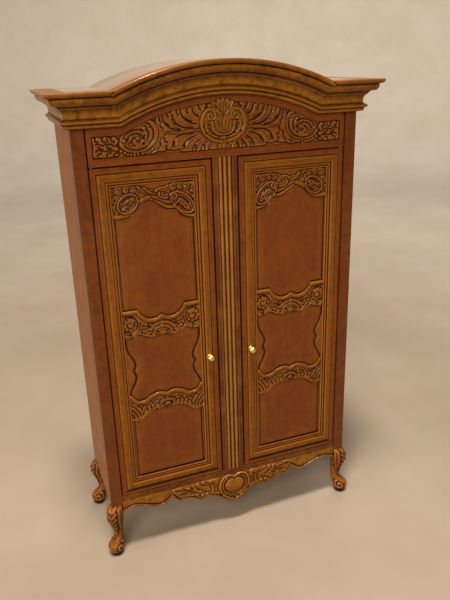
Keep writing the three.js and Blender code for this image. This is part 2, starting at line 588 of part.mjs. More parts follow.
function addApronCarving() {
  const back = FRONT_Y - GLUE;
  const proud = (outline, height) => plate(outline, back - height, back);
  const centreZ = FOOT_Z - 5.2;
  const ring = plate(oval(0, centreZ, 8.3, 7, 0, 28), back - 1, back);
  const tail = proud([[-5, centreZ - 4.5], [0, centreZ - 9.2], [5, centreZ - 4.5]], 0.8);
  const boss = proud(oval(0, centreZ + 0.5, 4.8, 3.9), 1.5);
  addPiece("apron_cartouche", joined([ring, tail, boss]), "carved_wood");

  const spray = [
    [9.2, -4, 0.15, 10, 3.4], [13, -3.6, 0.65, 6, 2], [15, -4, -0.4, 6, 2.4], [17, -2.8, 0.15, 9, 2.6],
    [20, -2.6, -0.3, 7, 2.4], [23, -1.8, 0.2, 8, 1.8],
  ];
  const leaves = spray.map(([x, drop, ...shape]) => proud(leaf(x, FOOT_Z + drop, ...shape), 0.7));
  const right = joined(leaves);
  addPiece("apron_carving_right", right, "carved_wood");
  addPiece("apron_carving_left", mirrorX(right), "carved_wood");
}

// ---- Inside fittings ----
function addInside() {
  const backY = BACK_Y - THIN_BOARD - GLUE;
  const frontY = FRONT_Y + POST_DEPTH + 1;
  const shelf = boxBetween(-INSIDE_HALF, INSIDE_HALF, frontY, backY, SHELF_HEIGHT, SHELF_HEIGHT + THIN_BOARD);
  addPiece("hat_shelf", shelf, "inside_wood");

  const railY = (frontY + backY) / 2;
  const railZ = SHELF_HEIGHT - RAIL_DROP;
  const socketDepth = 1.4;
  const railHalf = INSIDE_HALF - socketDepth - GLUE;
  const alongX = (radius, length, sides) =>
    new THREE.CylinderGeometry(radius, radius, length, sides).rotateZ(Math.PI / 2);
  const rail = alongX(RAIL_DIAMETER / 2, 2 * railHalf, 16).translate(0, railY, railZ);
  addPiece("hanging_rail", rail, "inside_wood");
  for (const [side, s] of [["left", -1], ["right", 1]]) {
    const socket = alongX(2.6, socketDepth, 20).translate(s * (INSIDE_HALF - socketDepth / 2), railY, railZ);
    addPiece(`rail_socket_${side}`, socket, "inside_wood");
  }
}

addCarcass();
addFrieze();
addPilaster();
addApron();
addCornice();
addLegs();
addDoor("left", -1);
addDoor("right", 1);
addFriezeCarving();
addApronCarving();
addInside();

export default wardrobe;
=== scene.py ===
"""A carved dolls' house wardrobe with two doors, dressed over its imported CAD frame. Lengths are in millimetres."""
import math

import bmesh
import bpy
import numpy as np
from mathutils import Matrix, Vector


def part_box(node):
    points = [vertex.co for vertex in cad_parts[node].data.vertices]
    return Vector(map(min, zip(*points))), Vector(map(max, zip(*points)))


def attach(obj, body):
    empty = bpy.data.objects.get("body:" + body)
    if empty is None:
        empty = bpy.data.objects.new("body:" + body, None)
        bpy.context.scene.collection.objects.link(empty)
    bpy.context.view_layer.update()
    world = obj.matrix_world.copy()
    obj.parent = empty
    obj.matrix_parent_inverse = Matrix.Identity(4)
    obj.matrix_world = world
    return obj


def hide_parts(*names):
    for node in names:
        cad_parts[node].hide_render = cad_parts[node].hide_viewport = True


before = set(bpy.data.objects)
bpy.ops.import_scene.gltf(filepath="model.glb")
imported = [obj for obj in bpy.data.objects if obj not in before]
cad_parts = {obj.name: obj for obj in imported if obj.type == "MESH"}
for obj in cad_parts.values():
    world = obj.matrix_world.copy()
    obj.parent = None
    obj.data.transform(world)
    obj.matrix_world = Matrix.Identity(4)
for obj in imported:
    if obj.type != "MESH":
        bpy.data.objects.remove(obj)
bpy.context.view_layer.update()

MM = 0.001


# ---- Sizes read from the CAD nodes ----
def limits(node):
    """Lowest and highest corner of a CAD node, in mm."""
    low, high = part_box(node)
    return np.array(low) / MM, np.array(high) / MM


POST_LOW, POST_HIGH = limits("corner_post_right")
FACE_Y = POST_LOW[1]
BACK_Y = limits("back_panel")[1][1]
CASE_HALF = POST_HIGH[0]
FOOT_Z = POST_LOW[2]
CORNICE_Z = limits("cornice_left")[0][2]
ROOF_Z = limits("cornice_left")[1][2]
ARCH_RISE = limits("cornice_front")[1][2] - ROOF_Z
ARCH_HALF_SPAN = 41
ARCH_RADIUS = (ARCH_HALF_SPAN ** 2 + ARCH_RISE ** 2) / (2 * ARCH_RISE)
ARCH_CENTRE_Z = CORNICE_Z + ARCH_RISE - ARCH_RADIUS
ARCH_HALF_ANGLE = math.asin(ARCH_HALF_SPAN / ARCH_RADIUS)
DOOR_LOW, DOOR_HIGH = limits("door_right_hinge_stile")
DOOR_X = (limits("door_right_lock_stile")[0][0] + DOOR_HIGH[0]) / 2
DOOR_HALF = DOOR_HIGH[0] - DOOR_X
DOOR_Z = DOOR_LOW[2]
DOOR_HEIGHT = DOOR_HIGH[2] - DOOR_Z
BAR = 7.6
SEAM = 0.06
PANEL_TOP = DOOR_Z + DOOR_HEIGHT - BAR - SEAM
SIDES = (("left", -1), ("right", 1))


# ---- Lines ----
def points(text):
    """The places in a text, written as x,z with spaces between them, or the rows of a table written the same way."""
    return np.array([place.split(",") for place in text.split()], float)


def spline(places, steps=8):
    """A smooth line through places."""
    p = np.vstack([2 * places[0] - places[1], places, 2 * places[-1] - places[-2]])
    t = np.linspace(0, 1, steps, endpoint=False)[:, None]
    spans = []
    for a, b, c, d in zip(p, p[1:], p[2:], p[3:]):
        spans.append(b + 0.5 * t * (c - a + t * (2 * a - 5 * b + 4 * c - d + t * (3 * (b - c) + d - a))))
    return np.vstack(spans + [p[-2:-1]])


def drawn(path):
    """A smooth line through places written as a text. Any other line stays as it is."""
    return spline(points(path)) if isinstance(path, str) else path


def joined(*texts):
    """Smooth lines joined at sharp corners."""
    parts = [drawn(text) for text in texts]
    return np.vstack([parts[0]] + [part[1:] for part in parts[1:]])


def moulding(corners):
    """A section of (u, v, bulge) corners. Each bulge is the sagitta of the arc to the next corner over its chord."""
    line = []
    for (u0, v0, bulge), (u1, v1, _) in zip(corners, corners[1:]):
        steps = 10 if bulge else 3
        for i in range(steps):
            t = i / steps
            out = 4 * bulge * t * (1 - t)
            line.append((u0 + t * (u1 - u0) - out * (v1 - v0), v0 + t * (v1 - v0) + out * (u1 - u0)))
    line.append(corners[-1][:2])
    return np.array(line)


def heading(degrees):
    """How far a step of 1 goes along each axis at an angle."""
    return math.cos(math.radians(degrees)), math.sin(math.radians(degrees))


def ellipse(cx, cz, rx, rz, tilt=0, start=0, turn=360, steps=48):
    """Places on a tilted ellipse, or on a part of it. Angles are in degrees."""
    a = np.radians(np.linspace(start, start + turn, steps + 1))
    c, s = heading(tilt)
    x, z = rx * np.cos(a), rz * np.sin(a)
    return np.column_stack([cx + x * c - z * s, cz + x * s + z * c])


def volute(cx, cz, outer, inner, start, turn, steps=40):
    """A spiral from an outer to an inner radius."""
    r = np.linspace(outer, inner, steps + 1)
    return ellipse(cx, cz, r, r, 0, start, turn, steps)


def height_on(edge, u):
    """The height of an edge over each place along it."""
    return np.interp(u, edge[:, 0], edge[:, 1])


# ---- Carved relief ----
LINE = 0.3
FAR = 9.0


def blurred(h, sigma):
    """A grid of heights, softened over sigma cells."""
    reach = max(1, int(3 * sigma))
    offsets = np.arange(-reach, reach + 1)
    weights = np.exp(-0.5 * (offsets / sigma) ** 2)
    weights /= weights.sum()
    for axis in (0, 1):
        pad = [(0, 0), (0, 0)]
        pad[axis] = (reach, reach)
        wide = np.pad(h, pad, mode="edge")
        count = h.shape[axis]
        h = sum(w * np.take(wide, np.arange(k, k + count), axis) for k, w in enumerate(weights))
    return h


def relief_shade(h, sigma, span):
    """0.5 on an even surface, towards 0 in its hollows and towards 1 on its crests."""
    return np.clip(0.5 + (h - blurred(h, sigma)) / span, 0, 1)


class Relief:
    """Heights over a grid of points, built up one carved form at a time, with dark lines painted along its cuts and
    round its forms: partly glazing, partly painted shade.
    """

    def __init__(self, x, z, level=0.0):
        self.x, self.z = x, z
        self.h = np.full(x.shape, float(level))
        self.ink = np.zeros(x.shape)

    def near(self, path, reach):
        """The points near a path: their index, their place along it from 0 to 1, and their signed distance from it."""
        path = drawn(path)
        low, high = path.min(0) - reach, path.max(0) + reach
        index = np.nonzero((self.x > low[0]) & (self.x < high[0]) & (self.z > low[1]) & (self.z < high[1]))
        px, pz = self.x[index], self.z[index]
        best, along, side = np.full(px.shape, 1e9), np.zeros(px.shape), np.zeros(px.shape)
        lengths = np.hypot(*np.diff(path, axis=0).T)
        places = np.concatenate([[0], np.cumsum(lengths)]) / lengths.sum()
        for k in range(len(path) - 1):
            (ax, az), (dx, dz) = path[k], path[k + 1] - path[k]
            u = np.clip(((px - ax) * dx + (pz - az) * dz) / max(dx * dx + dz * dz, 1e-12), 0, 1)
            qx, qz = px - ax - u * dx, pz - az - u * dz
            gap = np.hypot(qx, qz)
            closer = gap < best
            best[closer] = gap[closer]
            along[closer] = (places[k] + u * (places[k + 1] - places[k]))[closer]
            side[closer] = np.sign(dx * qz - dz * qx)[closer]
        return index, along, side * best

    def across(self, path, width, shape):
        """The points near a form along a path: near's answer, and half the form's width there."""
        index, t, s = self.near(path, width / 2 + 0.8)
        return index, t, s, width / 2 * np.interp(t, np.linspace(0, 1, len(shape)), shape)

    def darken(self, index, gap, strength=0.85):
        """Paints a thin dark line, glazing and painted shade, where gap is near 0."""
        self.ink[index] = np.maximum(self.ink[index], strength * np.exp(-(gap / LINE) ** 2))

    def raise_to(self, index, gap, h):
        """Lifts the points where gap is below 0 to h, and paints a dark line round them: glazing and painted shade at
        their foot.
        """
        wins = (gap < 0) & (h > self.h[index])
        self.h[index] = np.where(wins, h, self.h[index])
        self.ink[index] = np.where(wins, 0, self.ink[index])
        self.darken(index, np.where(gap < 0, FAR, gap - 0.12))

    def stem(self, path, width, height, base=0.0, shape=(1, 1)):
        """A rounded stem along a path. shape is its relative width from end to end."""
        index, _, s, half = self.across(path, width, shape)
        r = np.abs(s) / np.maximum(half, 1e-6)
        self.raise_to(index, np.abs(s) - half, base + height * np.sqrt(np.clip(1 - r * r, 0, 1)))

    def petal(self, path, width, height, base, shape, flutes=0, lobes=0, notch=0.3):
        """A leaf along a path. flutes run along it, and lobes notch its edges."""
        index, t, s, half = self.across(path, width, shape)
        if lobes:
            half = half * (1 - notch * np.abs(np.cos(math.pi * lobes * t)) ** 3)
        signed = s / np.maximum(half, 1e-6)
        r = np.abs(signed)
        body = np.clip(1 - r ** 4, 0, 1) ** 0.5 * 0.8
        if flutes:
            body -= 0.3 * np.clip(np.cos(math.pi * flutes * signed), 0, 1) * (1 - r ** 2)
        if lobes:
            body -= 0.22 * np.clip(np.cos(2 * math.pi * (lobes * t - 0.5 * r)), 0, 1) * r
        tips = np.clip(np.minimum(t, 1 - t) * 12, 0, 1) ** 0.5
        self.raise_to(index, np.abs(s) - half, base + height * body * tips)
        if flutes:
            # Dark lines painted along the flutes: glazing and painted shade.
            self.darken(index, np.where((np.abs(s) < half) & (t > 0.12) & (t < 0.8), s, FAR), 0.55)

    def dome(self, cx, cz, rx, rz, tilt, height, base=0.0, power=0.5):
        """A boss on a tilted ellipse, or a hollow dish if height is negative."""
        c, s = heading(tilt)
        dx, dz = self.x - cx, self.z - cz
        r2 = ((dx * c + dz * s) / rx) ** 2 + ((dz * c - dx * s) / rz) ** 2
        index = np.nonzero(r2 < (1 + 0.8 / min(rx, rz)) ** 2)
        r2 = r2[index]
        h = base + height * np.clip(1 - r2, 0, 1) ** power
        if height < 0:
            self.h[index] = np.where(r2 < 1, h, self.h[index])
            # A dish is painted dark: painted shade and glazing in its hollow.
            self.ink[index] = np.maximum(self.ink[index], np.clip(1.1 - r2, 0, 0.9))
        else:
            self.raise_to(index, (np.sqrt(r2) - 1) * min(rx, rz), h)

    def pits(self, text):
        """Small dark hollows left by the point of a gouge."""
        for x, z in points(text):
            self.dome(x, z, 0.5, 0.4, 30, -0.3, 0.35)

    def beads(self, path, count, radius, height, base):
        """Round beads at even steps along a path."""
        path = drawn(path)
        for x, z in path[np.linspace(0, len(path) - 1, count).astype(int)]:
            self.dome(x, z, radius, radius, 0, height, base)

    def inside(self, outline):
        """Which points lie inside a closed outline."""
        inside = np.zeros(self.x.shape, bool)
        for (ax, az), (bx, bz) in zip(outline, np.roll(outline, -1, 0)):
            if az != bz:
                crossing = (az > self.z) != (bz > self.z)
                inside ^= crossing & (self.x < (bx - ax) * (self.z - az) / (bz - az) + ax)
        return inside

    def mass(self, outline, height, ease, base=0.0):
        """A flat-topped form with rounded edges inside a closed outline."""
        inside = self.inside(outline)
        away = np.full(self.x.shape, FAR)
        index, _, s = self.near(np.vstack([outline, outline[:1]]), max(ease, 0.9))
        away[index] = np.abs(s)
        h = base + height * np.sqrt(np.clip(1 - (1 - np.minimum(away, ease) / ease) ** 2, 0, 1))
        whole = np.nonzero(inside | (away < 0.9))
        self.raise_to(whole, np.where(inside, -away, away)[whole], h[whole])

    def cut(self, path, depth, soft, steep, floor=0.0):
        """A carver's stop cut: steep on the left of the path, with a long slope down to it on the right."""
        index, t, s = self.near(path, 3 * soft)
        ends = np.clip(np.minimum(t, 1 - t) * 8, 0, 1) ** 0.7
        fall = np.exp(-np.abs(s) / np.where(s > 0, steep, soft)) * ends
        self.h[index] = np.minimum(self.h[index], np.maximum(self.h[index] - depth * fall, floor))
        # Paints a dark line along the cut: glazing and painted shade.
        self.ink[index] = np.maximum(self.ink[index], min(1, depth * 1.9) * ends * np.exp(-(s / LINE) ** 2))

    def cuts(self, text, *form):
        """A stop cut along each of the paths that semicolons part in a text."""
        for path in text.split(";"):
            self.cut(path, *form)

    def vein(self, first, second):
        """A shallow vein halfway between two cuts."""
        places = np.linspace(0, 1, 24)
        middle = 0
        for p in (drawn(first), drawn(second)):
            along = np.linspace(0, 1, len(p))
            middle = middle + 0.5 * np.column_stack([np.interp(places, along, axis) for axis in p.T])
        self.cut(middle, 0.16, 0.3, 0.15)

    def finished(self):
        """The heights, with their edges eased, and the shade of every point."""
        h = blurred(self.h, 0.55)
        return h, np.clip(relief_shade(np.maximum(h, 0), 2.5, 0.5) - 0.5 * blurred(self.ink, 0.45), 0, 1)


# ---- Meshes ----
def new_piece(name, node, finish, places, faces, relief=0.5, tint=0.5, sharp=38):
    """A mesh that stands for a CAD node and rides on its body. Its material reads relief and tint at every point."""
    mesh = bpy.data.meshes.new(name)
    mesh.from_pydata((np.asarray(places) * MM).tolist(), [], faces)
    for key, values in (("relief", relief), ("tint", tint)):
        values = np.broadcast_to(np.ravel(values), len(places)).astype(np.float32)
        mesh.attributes.new(key, "FLOAT", "POINT").data.foreach_set("value", values)
    mesh.shade_smooth()
    mesh.set_sharp_from_angle(angle=math.radians(sharp))
    mesh.materials.append(FINISHES[finish])
    piece = bpy.data.objects.new(name, mesh)
    bpy.context.scene.collection.objects.link(piece)
    body = node.split("_")[1] + "_door" if node.startswith("door_") else "case"
    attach(piece, body)
    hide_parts(node)
    return piece


def grid_faces(columns, rows):
    """Quads of a grid stored column by column, facing the front."""
    i, j = np.meshgrid(np.arange(columns - 1), np.arange(rows - 1), indexing="ij")
    a = i * rows + j
    return np.stack([a, a + rows, a + rows + 1, a + 1], -1).reshape(-1, 4)


def ring_faces(count, size):
    """Quads between closed rings stored one after another."""
    i, j = np.meshgrid(np.arange(count - 1), np.arange(size), indexing="ij")
    k = (j + 1) % size
    quads = np.stack([i * size + j, (i + 1) * size + j, (i + 1) * size + k, i * size + k], -1)
    return quads.reshape(-1, 4).tolist()


def slab_piece(name, node, finish, x, z, h, front_y, back_y, shade, tint=0.5):
    """A board whose carved front stands h proud of a plane."""
    columns, rows = x.shape
    front = np.stack([x, front_y - h, z], -1).reshape(-1, 3)
    number = np.arange(columns * rows).reshape(columns, rows)
    edge = np.concatenate([number[:-1, 0], number[-1, :-1], number[:0:-1, -1], number[0, :0:-1]])
    back = front[edge].copy()
    back[:, 1] = back_y
    behind = len(front) + np.arange(len(edge))
    skirt = np.stack([np.roll(edge, -1), edge, behind, np.roll(behind, -1)], -1)
    faces = grid_faces(columns, rows).tolist() + skirt.tolist() + [behind[::-1].tolist()]
    shades = [np.append(v.ravel(), v.ravel()[edge]) for v in (shade, np.broadcast_to(tint, h.shape))]
    new_piece(name, node, finish, np.vstack([front, back]), faces, *shades)


def leafwork_piece(name, node, x, z, h, shade, plane_y, depth, tint):
    """The parts of a relief that stand above a plane, with their backs a little behind it."""
    columns, rows = x.shape
    quads = grid_faces(columns, rows)
    kept = quads[(h.ravel()[quads] > 0).any(1)]
    count = columns * rows
    edges = np.stack([kept, np.roll(kept, -1, 1)], -1).reshape(-1, 2)
    code = edges[:, 0] * count + edges[:, 1]
    rim = edges[~np.isin(code, edges[:, 1] * count + edges[:, 0])]
    skirt = np.stack([rim[:, 1], rim[:, 0], rim[:, 0] + count, rim[:, 1] + count], -1)
    flat = np.stack([x, plane_y - np.maximum(h, -depth / 2), z], -1).reshape(-1, 3)
    back = flat.copy()
    back[:, 1] = plane_y + depth
    used, faces = np.unique(np.vstack([kept, kept[:, ::-1] + count, skirt]), return_inverse=True)
    shades = [np.tile(np.broadcast_to(v, x.shape).ravel(), 2)[used] for v in (shade, tint)]
    new_piece(name, node, "carved", np.vstack([flat, back])[used], faces.reshape(-1, 4).tolist(), *shades)


def face_out(solid):
    """Turns the faces of a closed bmesh outwards."""
    bmesh.ops.recalc_face_normals(solid, faces=solid.faces)


def ring_piece(name, node, finish, rings, relief=0.5, tint=0.5):
    """A solid through a row of rings of points, closed at its first and last ring."""
    rings = np.asarray(rings)
    count, size = rings.shape[:2]
    ends = [list(range(size)), list(range((count - 1) * size, count * size))[::-1]]
    faces = ring_faces(count, size) + ends
    mesh = new_piece(name, node, finish, rings.reshape(-1, 3), faces, relief, tint).data
    solid = bmesh.new()
    solid.from_mesh(mesh)
    face_out(solid)
    solid.to_mesh(mesh)
    solid.free()


def profile_shade(line):
    """The relief shade of each point of a section drawn with its solid on the left."""
    softness, span = 0.35, 0.28
    gaps = np.hypot(*(line[:, None] - line[None]).transpose(2, 0, 1))
    along = np.gradient(line, axis=0)
    steps = np.hypot(*along.T)
    weight = np.exp(-0.5 * (gaps / softness) ** 2) * steps
    soft = weight @ line / weight.sum(1)[:, None]
    normal = np.column_stack([along[:, 1], -along[:, 0]]) / np.maximum(steps, 1e-9)[:, None]
    return np.clip(0.5 + ((line - soft) * normal).sum(1) / span, 0, 1)


def sweep_piece(name, node, finish, rings, line, tint, glaze_and_shade=1.0, ink=0.0):
    """A section carried through rings. Its hollows keep a share of their glazing and painted shade, and ink is where
    more painted shade is laid.
    """
    shade = profile_shade(line)
    shade = np.clip(np.where(shade < 0.5, 0.5 + glaze_and_shade * (shade - 0.5), shade) - 0.5 * ink, 0, 1)
    ring_piece(name, node, finish, rings, np.tile(shade, len(rings)), np.tile(tint, len(rings)))


def turned_piece(name, node, finish, profile, centre, axis):
    """A turned form: (distance along, radius) pairs about an axis, X or Y."""
    a = np.linspace(0, 2 * math.pi, 48, endpoint=False)
    rings = []
    for place, radius in profile:
        along, c, s = np.full(len(a), place), radius * np.cos(a), radius * np.sin(a)
        rings.append(np.stack((along, c, s) if axis == "X" else (c, along, s), -1) + centre)
    ring_piece(name, node, finish, rings)


def plate_piece(name, node, finish, outlines, y0, y1, edge, tint=0.5):
    """A board cut to outlines of (x, z) places, the first its rim and the others holes, with rounded edges."""
    curve = bpy.data.curves.new(name, "CURVE")
    curve.dimensions, curve.fill_mode = "2D", "BOTH"
    curve.extrude = ((y1 - y0) / 2 - edge) * MM
    curve.bevel_depth, curve.bevel_resolution, curve.offset = edge * MM, 3, -edge * MM
    for outline in outlines:
        line = curve.splines.new("POLY")
        line.points.add(len(outline) - 1)
        places = np.pad(outline * MM, ((0, 0), (0, 2)))
        places[:, 3] = 1
        line.points.foreach_set("co", places.ravel())
        line.use_cyclic_u = True
    drawing = bpy.data.objects.new(name, curve)
    bpy.context.scene.collection.objects.link(drawing)
    solid = bmesh.new()
    solid.from_mesh(drawing.evaluated_get(bpy.context.evaluated_depsgraph_get()).to_mesh())
    bpy.data.objects.remove(drawing)
    bmesh.ops.remove_doubles(solid, verts=solid.verts, dist=1e-6)
    face_out(solid)
    places = [(v.co.x / MM, (y0 + y1) / 2 - v.co.z / MM, v.co.y / MM) for v in solid.verts]
    faces = [[v.index for v in f.verts] for f in solid.faces]
    solid.free()
    new_piece(name, node, finish, places, faces, tint=tint, sharp=30)


# ---- Materials ----
def rgb(code):
    """A linear colour from an sRGB hex code."""
    parts = [int(code[i:i + 2], 16) / 255 for i in (0, 2, 4)]
    return tuple(c / 12.92 if c < 0.04045 else ((c + 0.055) / 1.055) ** 2.4 for c in parts) + (1,)


class Shader:
    """A material's node tree, with short calls for the nodes it uses."""

    def __init__(self, name):
        self.material = bpy.data.materials.new(name)
        self.material.use_nodes = True
        self.tree = self.material.node_tree
        self.surface = self.tree.nodes["Principled BSDF"]

    def node(self, kind, **values):
        node = self.tree.nodes.new("ShaderNode" + kind)
        for key, value in values.items():
            setattr(node, key, value)
        return node

    def put(self, socket, value):
        """Links another socket to a socket, or sets its value."""
        if isinstance(value, bpy.types.NodeSocket):
            self.tree.links.new(value, socket)
        else:
            socket.default_value = value

    def fill(self, node, **values):
        """Links or sets a node's inputs by name, with _ for a space."""
        for key, value in values.items():
            self.put(node.inputs[key.replace("_", " ")], value)
        return node.outputs[0]

    def math(self, operation, a, b=0.0, clamp=False):
        node = self.node("Math", operation=operation, use_clamp=clamp)
        self.put(node.inputs[0], a)
        self.put(node.inputs[1], b)
        return node.outputs[0]

    def mix(self, factor, a, b):
        node = self.node("Mix", data_type="RGBA")
        for k, value in ((0, factor), (6, a), (7, b)):
            self.put(node.inputs[k], value)
        return node.outputs[2]

    def spread(self, value, low, high, to_low=0.0, to_high=1.0):
        """Maps a value from one range onto another, held at its ends."""
        node = self.node("MapRange")
        for socket, v in zip(node.inputs, (value, low, high, to_low, to_high)):
            self.put(socket, v)
        return node.outputs[0]

    def noise(self, scale, detail=3.0, roughness=0.5, distortion=0.0):
        """Noise over the object's own space, with a scale per metre along each axis."""
        place = self.fill(self.node("Mapping"), Vector=self.node("TexCoord").outputs["Object"], Scale=scale)
        return self.fill(self.node("TexNoise"), Vector=place, Scale=1.0, Detail=detail, Roughness=roughness,
                         Distortion=distortion)

    def attribute(self, name):
        return self.node("Attribute", attribute_name=name).outputs["Fac"]

    def crevice(self, distance):
        """0 in the open and 1 deep in a corner or joint."""
        shade = self.node("AmbientOcclusion", samples=8)
        self.fill(shade, Distance=distance * MM)
        return self.math("SUBTRACT", 1.0, shade.outputs["AO"])

    def bump(self, height, strength, distance):
        """Tilts the surface by a height, over a distance in mm."""
        normal = self.fill(self.node("Bump"), Strength=strength, Distance=distance * MM, Height=height)
        self.fill(self.surface, Normal=normal)


FIBRE_BROWN, STREAK_BROWN, PORE_BROWN, SMUDGE_BROWN = rgb("3a1808"), rgb("2e1406"), rgb("241006"), rgb("2c1006")
# Near black for glazing and painted shade in corners and hollows; pale gold for wear and painted highlights on crests.
GLAZE_AND_SHADE_BLACK, WORN_AND_HIGHLIGHT_GOLD = rgb("1c0a04"), rgb("a06c28")


def wood(name, red, gold, grain="Z", tint=None, gloss=0.36, glaze_and_shade=1.0, specular=0.09, coat=0.2, patina=0.5):
    """Stained, glazed and lacquered wood, with painted shade in its corners, joints and hollows. tint runs from red to
    gold; without it the piece's own values are read.
    """
    s = Shader(name)
    across, along = 5200, 260
    scale = [across] * 3
    scale["XYZ".index(grain)] = along
    fibre = s.noise(scale, 4, 0.62)
    streak = s.noise([v * 0.22 for v in scale], 3, 0.55, 0.3)
    cloud = s.noise([90] * 3, 3, 0.55)
    pores = s.spread(s.noise([v * 2.3 for v in scale], 2), 0.62, 0.74)
    smudge = s.noise([340] * 3, 5, 0.7)

    base = s.attribute("tint") if tint is None else tint
    shift = s.math("ADD", s.spread(streak, 0.3, 0.7, -0.16, 0.16), s.spread(cloud, 0.3, 0.7, -0.22, 0.22))
    colour = s.mix(s.math("ADD", base, shift, clamp=True), rgb(red), rgb(gold))
    colour = s.mix(s.spread(fibre, 0.35, 0.75, 0.0, 0.34), colour, FIBRE_BROWN)
    colour = s.mix(s.spread(streak, 0.42, 0.7, 0.0, 0.32), colour, STREAK_BROWN)
    colour = s.mix(s.math("MULTIPLY", pores, 0.35), colour, PORE_BROWN)
    colour = s.mix(s.spread(smudge, 0.46, 0.72, 0.0, patina), colour, SMUDGE_BROWN)
    # Painted shade: ambient occlusion darkens corners, joints and gaps towards near black, together with the glazing
    # there.
    crevice = s.spread(s.crevice(1.1), 0.3, 0.85, 0.0, 0.8 * glaze_and_shade)
    if tint is None:
        relief = s.attribute("relief")
        # Painted highlight and wear: the relief's crests turn pale gold.
        colour = s.mix(s.spread(relief, 0.56, 0.95, 0.0, 0.45), colour, WORN_AND_HIGHLIGHT_GOLD)
        # Painted shade and glazing in the relief's hollows.
        crevice = s.math("MAXIMUM", crevice, s.spread(relief, 0.46, 0.17, 0.0, 0.95 * glaze_and_shade))

    rough = s.spread(cloud, 0.3, 0.7, gloss - 0.05, gloss + 0.07)
    rough = s.math("ADD", rough, s.math("MULTIPLY", crevice, 0.25), clamp=True)
    s.fill(s.surface, Base_Color=s.mix(crevice, colour, GLAZE_AND_SHADE_BLACK), Roughness=rough,
           Specular_IOR_Level=specular, Coat_Weight=coat, Coat_Roughness=0.13)
    s.bump(s.math("SUBTRACT", s.math("ADD", fibre, s.math("MULTIPLY", cloud, 0.5)), pores), 0.35, 0.03)
    return s.material


def metal(name, colour, tarnish, rough):
    """Polished metal, dull in patches and in its corners."""
    s = Shader(name)
    cloud = s.noise([900] * 3, 4, 0.6)
    dull = s.math("MAXIMUM", s.spread(cloud, 0.5, 0.8, 0.0, 0.5), s.spread(s.crevice(0.5), 0.35, 0.9, 0.0, 0.9))
    s.fill(s.surface, Base_Color=s.mix(dull, rgb(colour), rgb(tarnish)), Metallic=1.0,
           Roughness=s.spread(cloud, 0.3, 0.8, rough, rough + 0.18))
    s.bump(s.noise([6000] * 3, 2), 0.2, 0.01)
    return s.material


RED, GOLD = "72360f", "7e4909"
CORNICE_RED, CORNICE_GOLD = "602e0c", "a0680f"
INSIDE_RED, INSIDE_GOLD = "7a4a28", "9a673a"
INSIDE_LOOK = {"tint": 0.5, "gloss": 0.5, "glaze_and_shade": 0.6}
FINISHES = {
    "case": wood("case_wood", "824818", "945c20", tint=0.3, specular=0.06, coat=0.04),
    "post": wood("post_wood", "62300e", "744014", tint=0.35),
    # The roof's paler colours are a painted sheen, on top of its real gloss.
    "roof": wood("roof_wood", "845024", "986a38", "Y", 0.35, 0.18, specular=0.7, coat=1.0, patina=0.2),
    "upright": wood("moulded_wood_upright", RED, GOLD),
    "reeds": wood("reeded_wood", "562810", "a46c2a", patina=0.3),
    "level": wood("moulded_wood_level", RED, GOLD, "X"),
    "cornice": wood("cornice_wood", CORNICE_RED, CORNICE_GOLD, "X", patina=0.85),
    "cornice_return": wood("cornice_wood_return", CORNICE_RED, CORNICE_GOLD, "Y", patina=0.85),
    "carved": wood("carved_wood", "763c0d", "905810", "X", gloss=0.4),
    "panel": wood("door_panel_wood", "6c350e", "824a10", patina=0.3),
    "inside": wood("inside_wood", INSIDE_RED, INSIDE_GOLD, **INSIDE_LOOK),
    "inside_level": wood("inside_wood_level", INSIDE_RED, INSIDE_GOLD, "X", **INSIDE_LOOK),
    "brass": metal("brass", "e6c36c", "7a5420", 0.3),
    "steel": metal("steel_pin", "9a9ca0", "4a4642", 0.3),
}


# ---- Carcass ----
def finish_cad_nodes():
    """Plain boards keep their CAD shape, with eased edges. Each row is a finish, its edge in mm and its nodes."""
    pins = [f"hinge_pin_{side}_{end}" for side, _ in SIDES for end in ("top", "bottom")]
    rows = (("case", 0.2, ["side_panel_left", "side_panel_right"]),
            ("post", 0.45, ["corner_post_left", "corner_post_right"]),
            ("inside", 0.2, ["back_panel"]),
            ("inside_level", 0.2, ["bottom_board", "top_board", "hat_shelf"]),
            ("steel", 0.08, pins))
    for finish, width, names in rows:
        for name in names:
            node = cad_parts[name]
            node.data.materials.clear()
            node.data.materials.append(FINISHES[finish])
            ease = node.modifiers.new("eased_edges", "BEVEL")
            ease.width = width * MM
            ease.segments = 3


def flat_arch_line(half, rise, steps=64):
    """The cornice's line from left to right, at a rise above its lower edge: flat, arch, flat."""
    radius = ARCH_RADIUS + rise
    level = CORNICE_Z + rise
    reach = math.sqrt(radius ** 2 - (level - ARCH_CENTRE_Z) ** 2)
    a = np.linspace(-math.asin(reach / radius), math.asin(reach / radius), steps)
    arc = np.column_stack([radius * np.sin(a), ARCH_CENTRE_Z + radius * np.cos(a)])
    return np.vstack([[[-half, level]], arc, [[half, level]]])


CORNICE_LINE = moulding(points("""0,0,0 0.8,0.1,0 1.0,0.3,-0.3 2.3,1.3,0 2.1,1.45,0 2.4,1.6,-0.55 2.5,3.2,0
    2.1,3.35,0 1.95,3.55,0.14 2.9,7.1,0 3.3,7.15,0 3.35,7.55,0.15 5.6,8.5,0 5.75,8.7,-0.12 6.5,10.8,0
    6.3,11.0,0 6.8,11.2,-0.2 8.2,12.4,0 8.2,12.85,0 8.05,13,0 0,13,0"""))
# Red and gold bands along the section, with painted shade: the soffit and the cove's upper part are darker and the
# cove's foot lighter, as light from above falls.
CORNICE_TINT_AND_SHADE = np.interp(CORNICE_LINE[:, 1], [0, 0.3, 1.4, 1.6, 3.2, 3.5, 4.8, 6.6, 7.3, 7.6, 8.5, 8.8, 10.6, 11.2, 13],
                         [0.3, 0.7, 0.6, 0.2, 0.25, 0.8, 0.95, 0.5, 0.7, 0.1, 0.1, 0.3, 0.55, 0.3, 0.35])


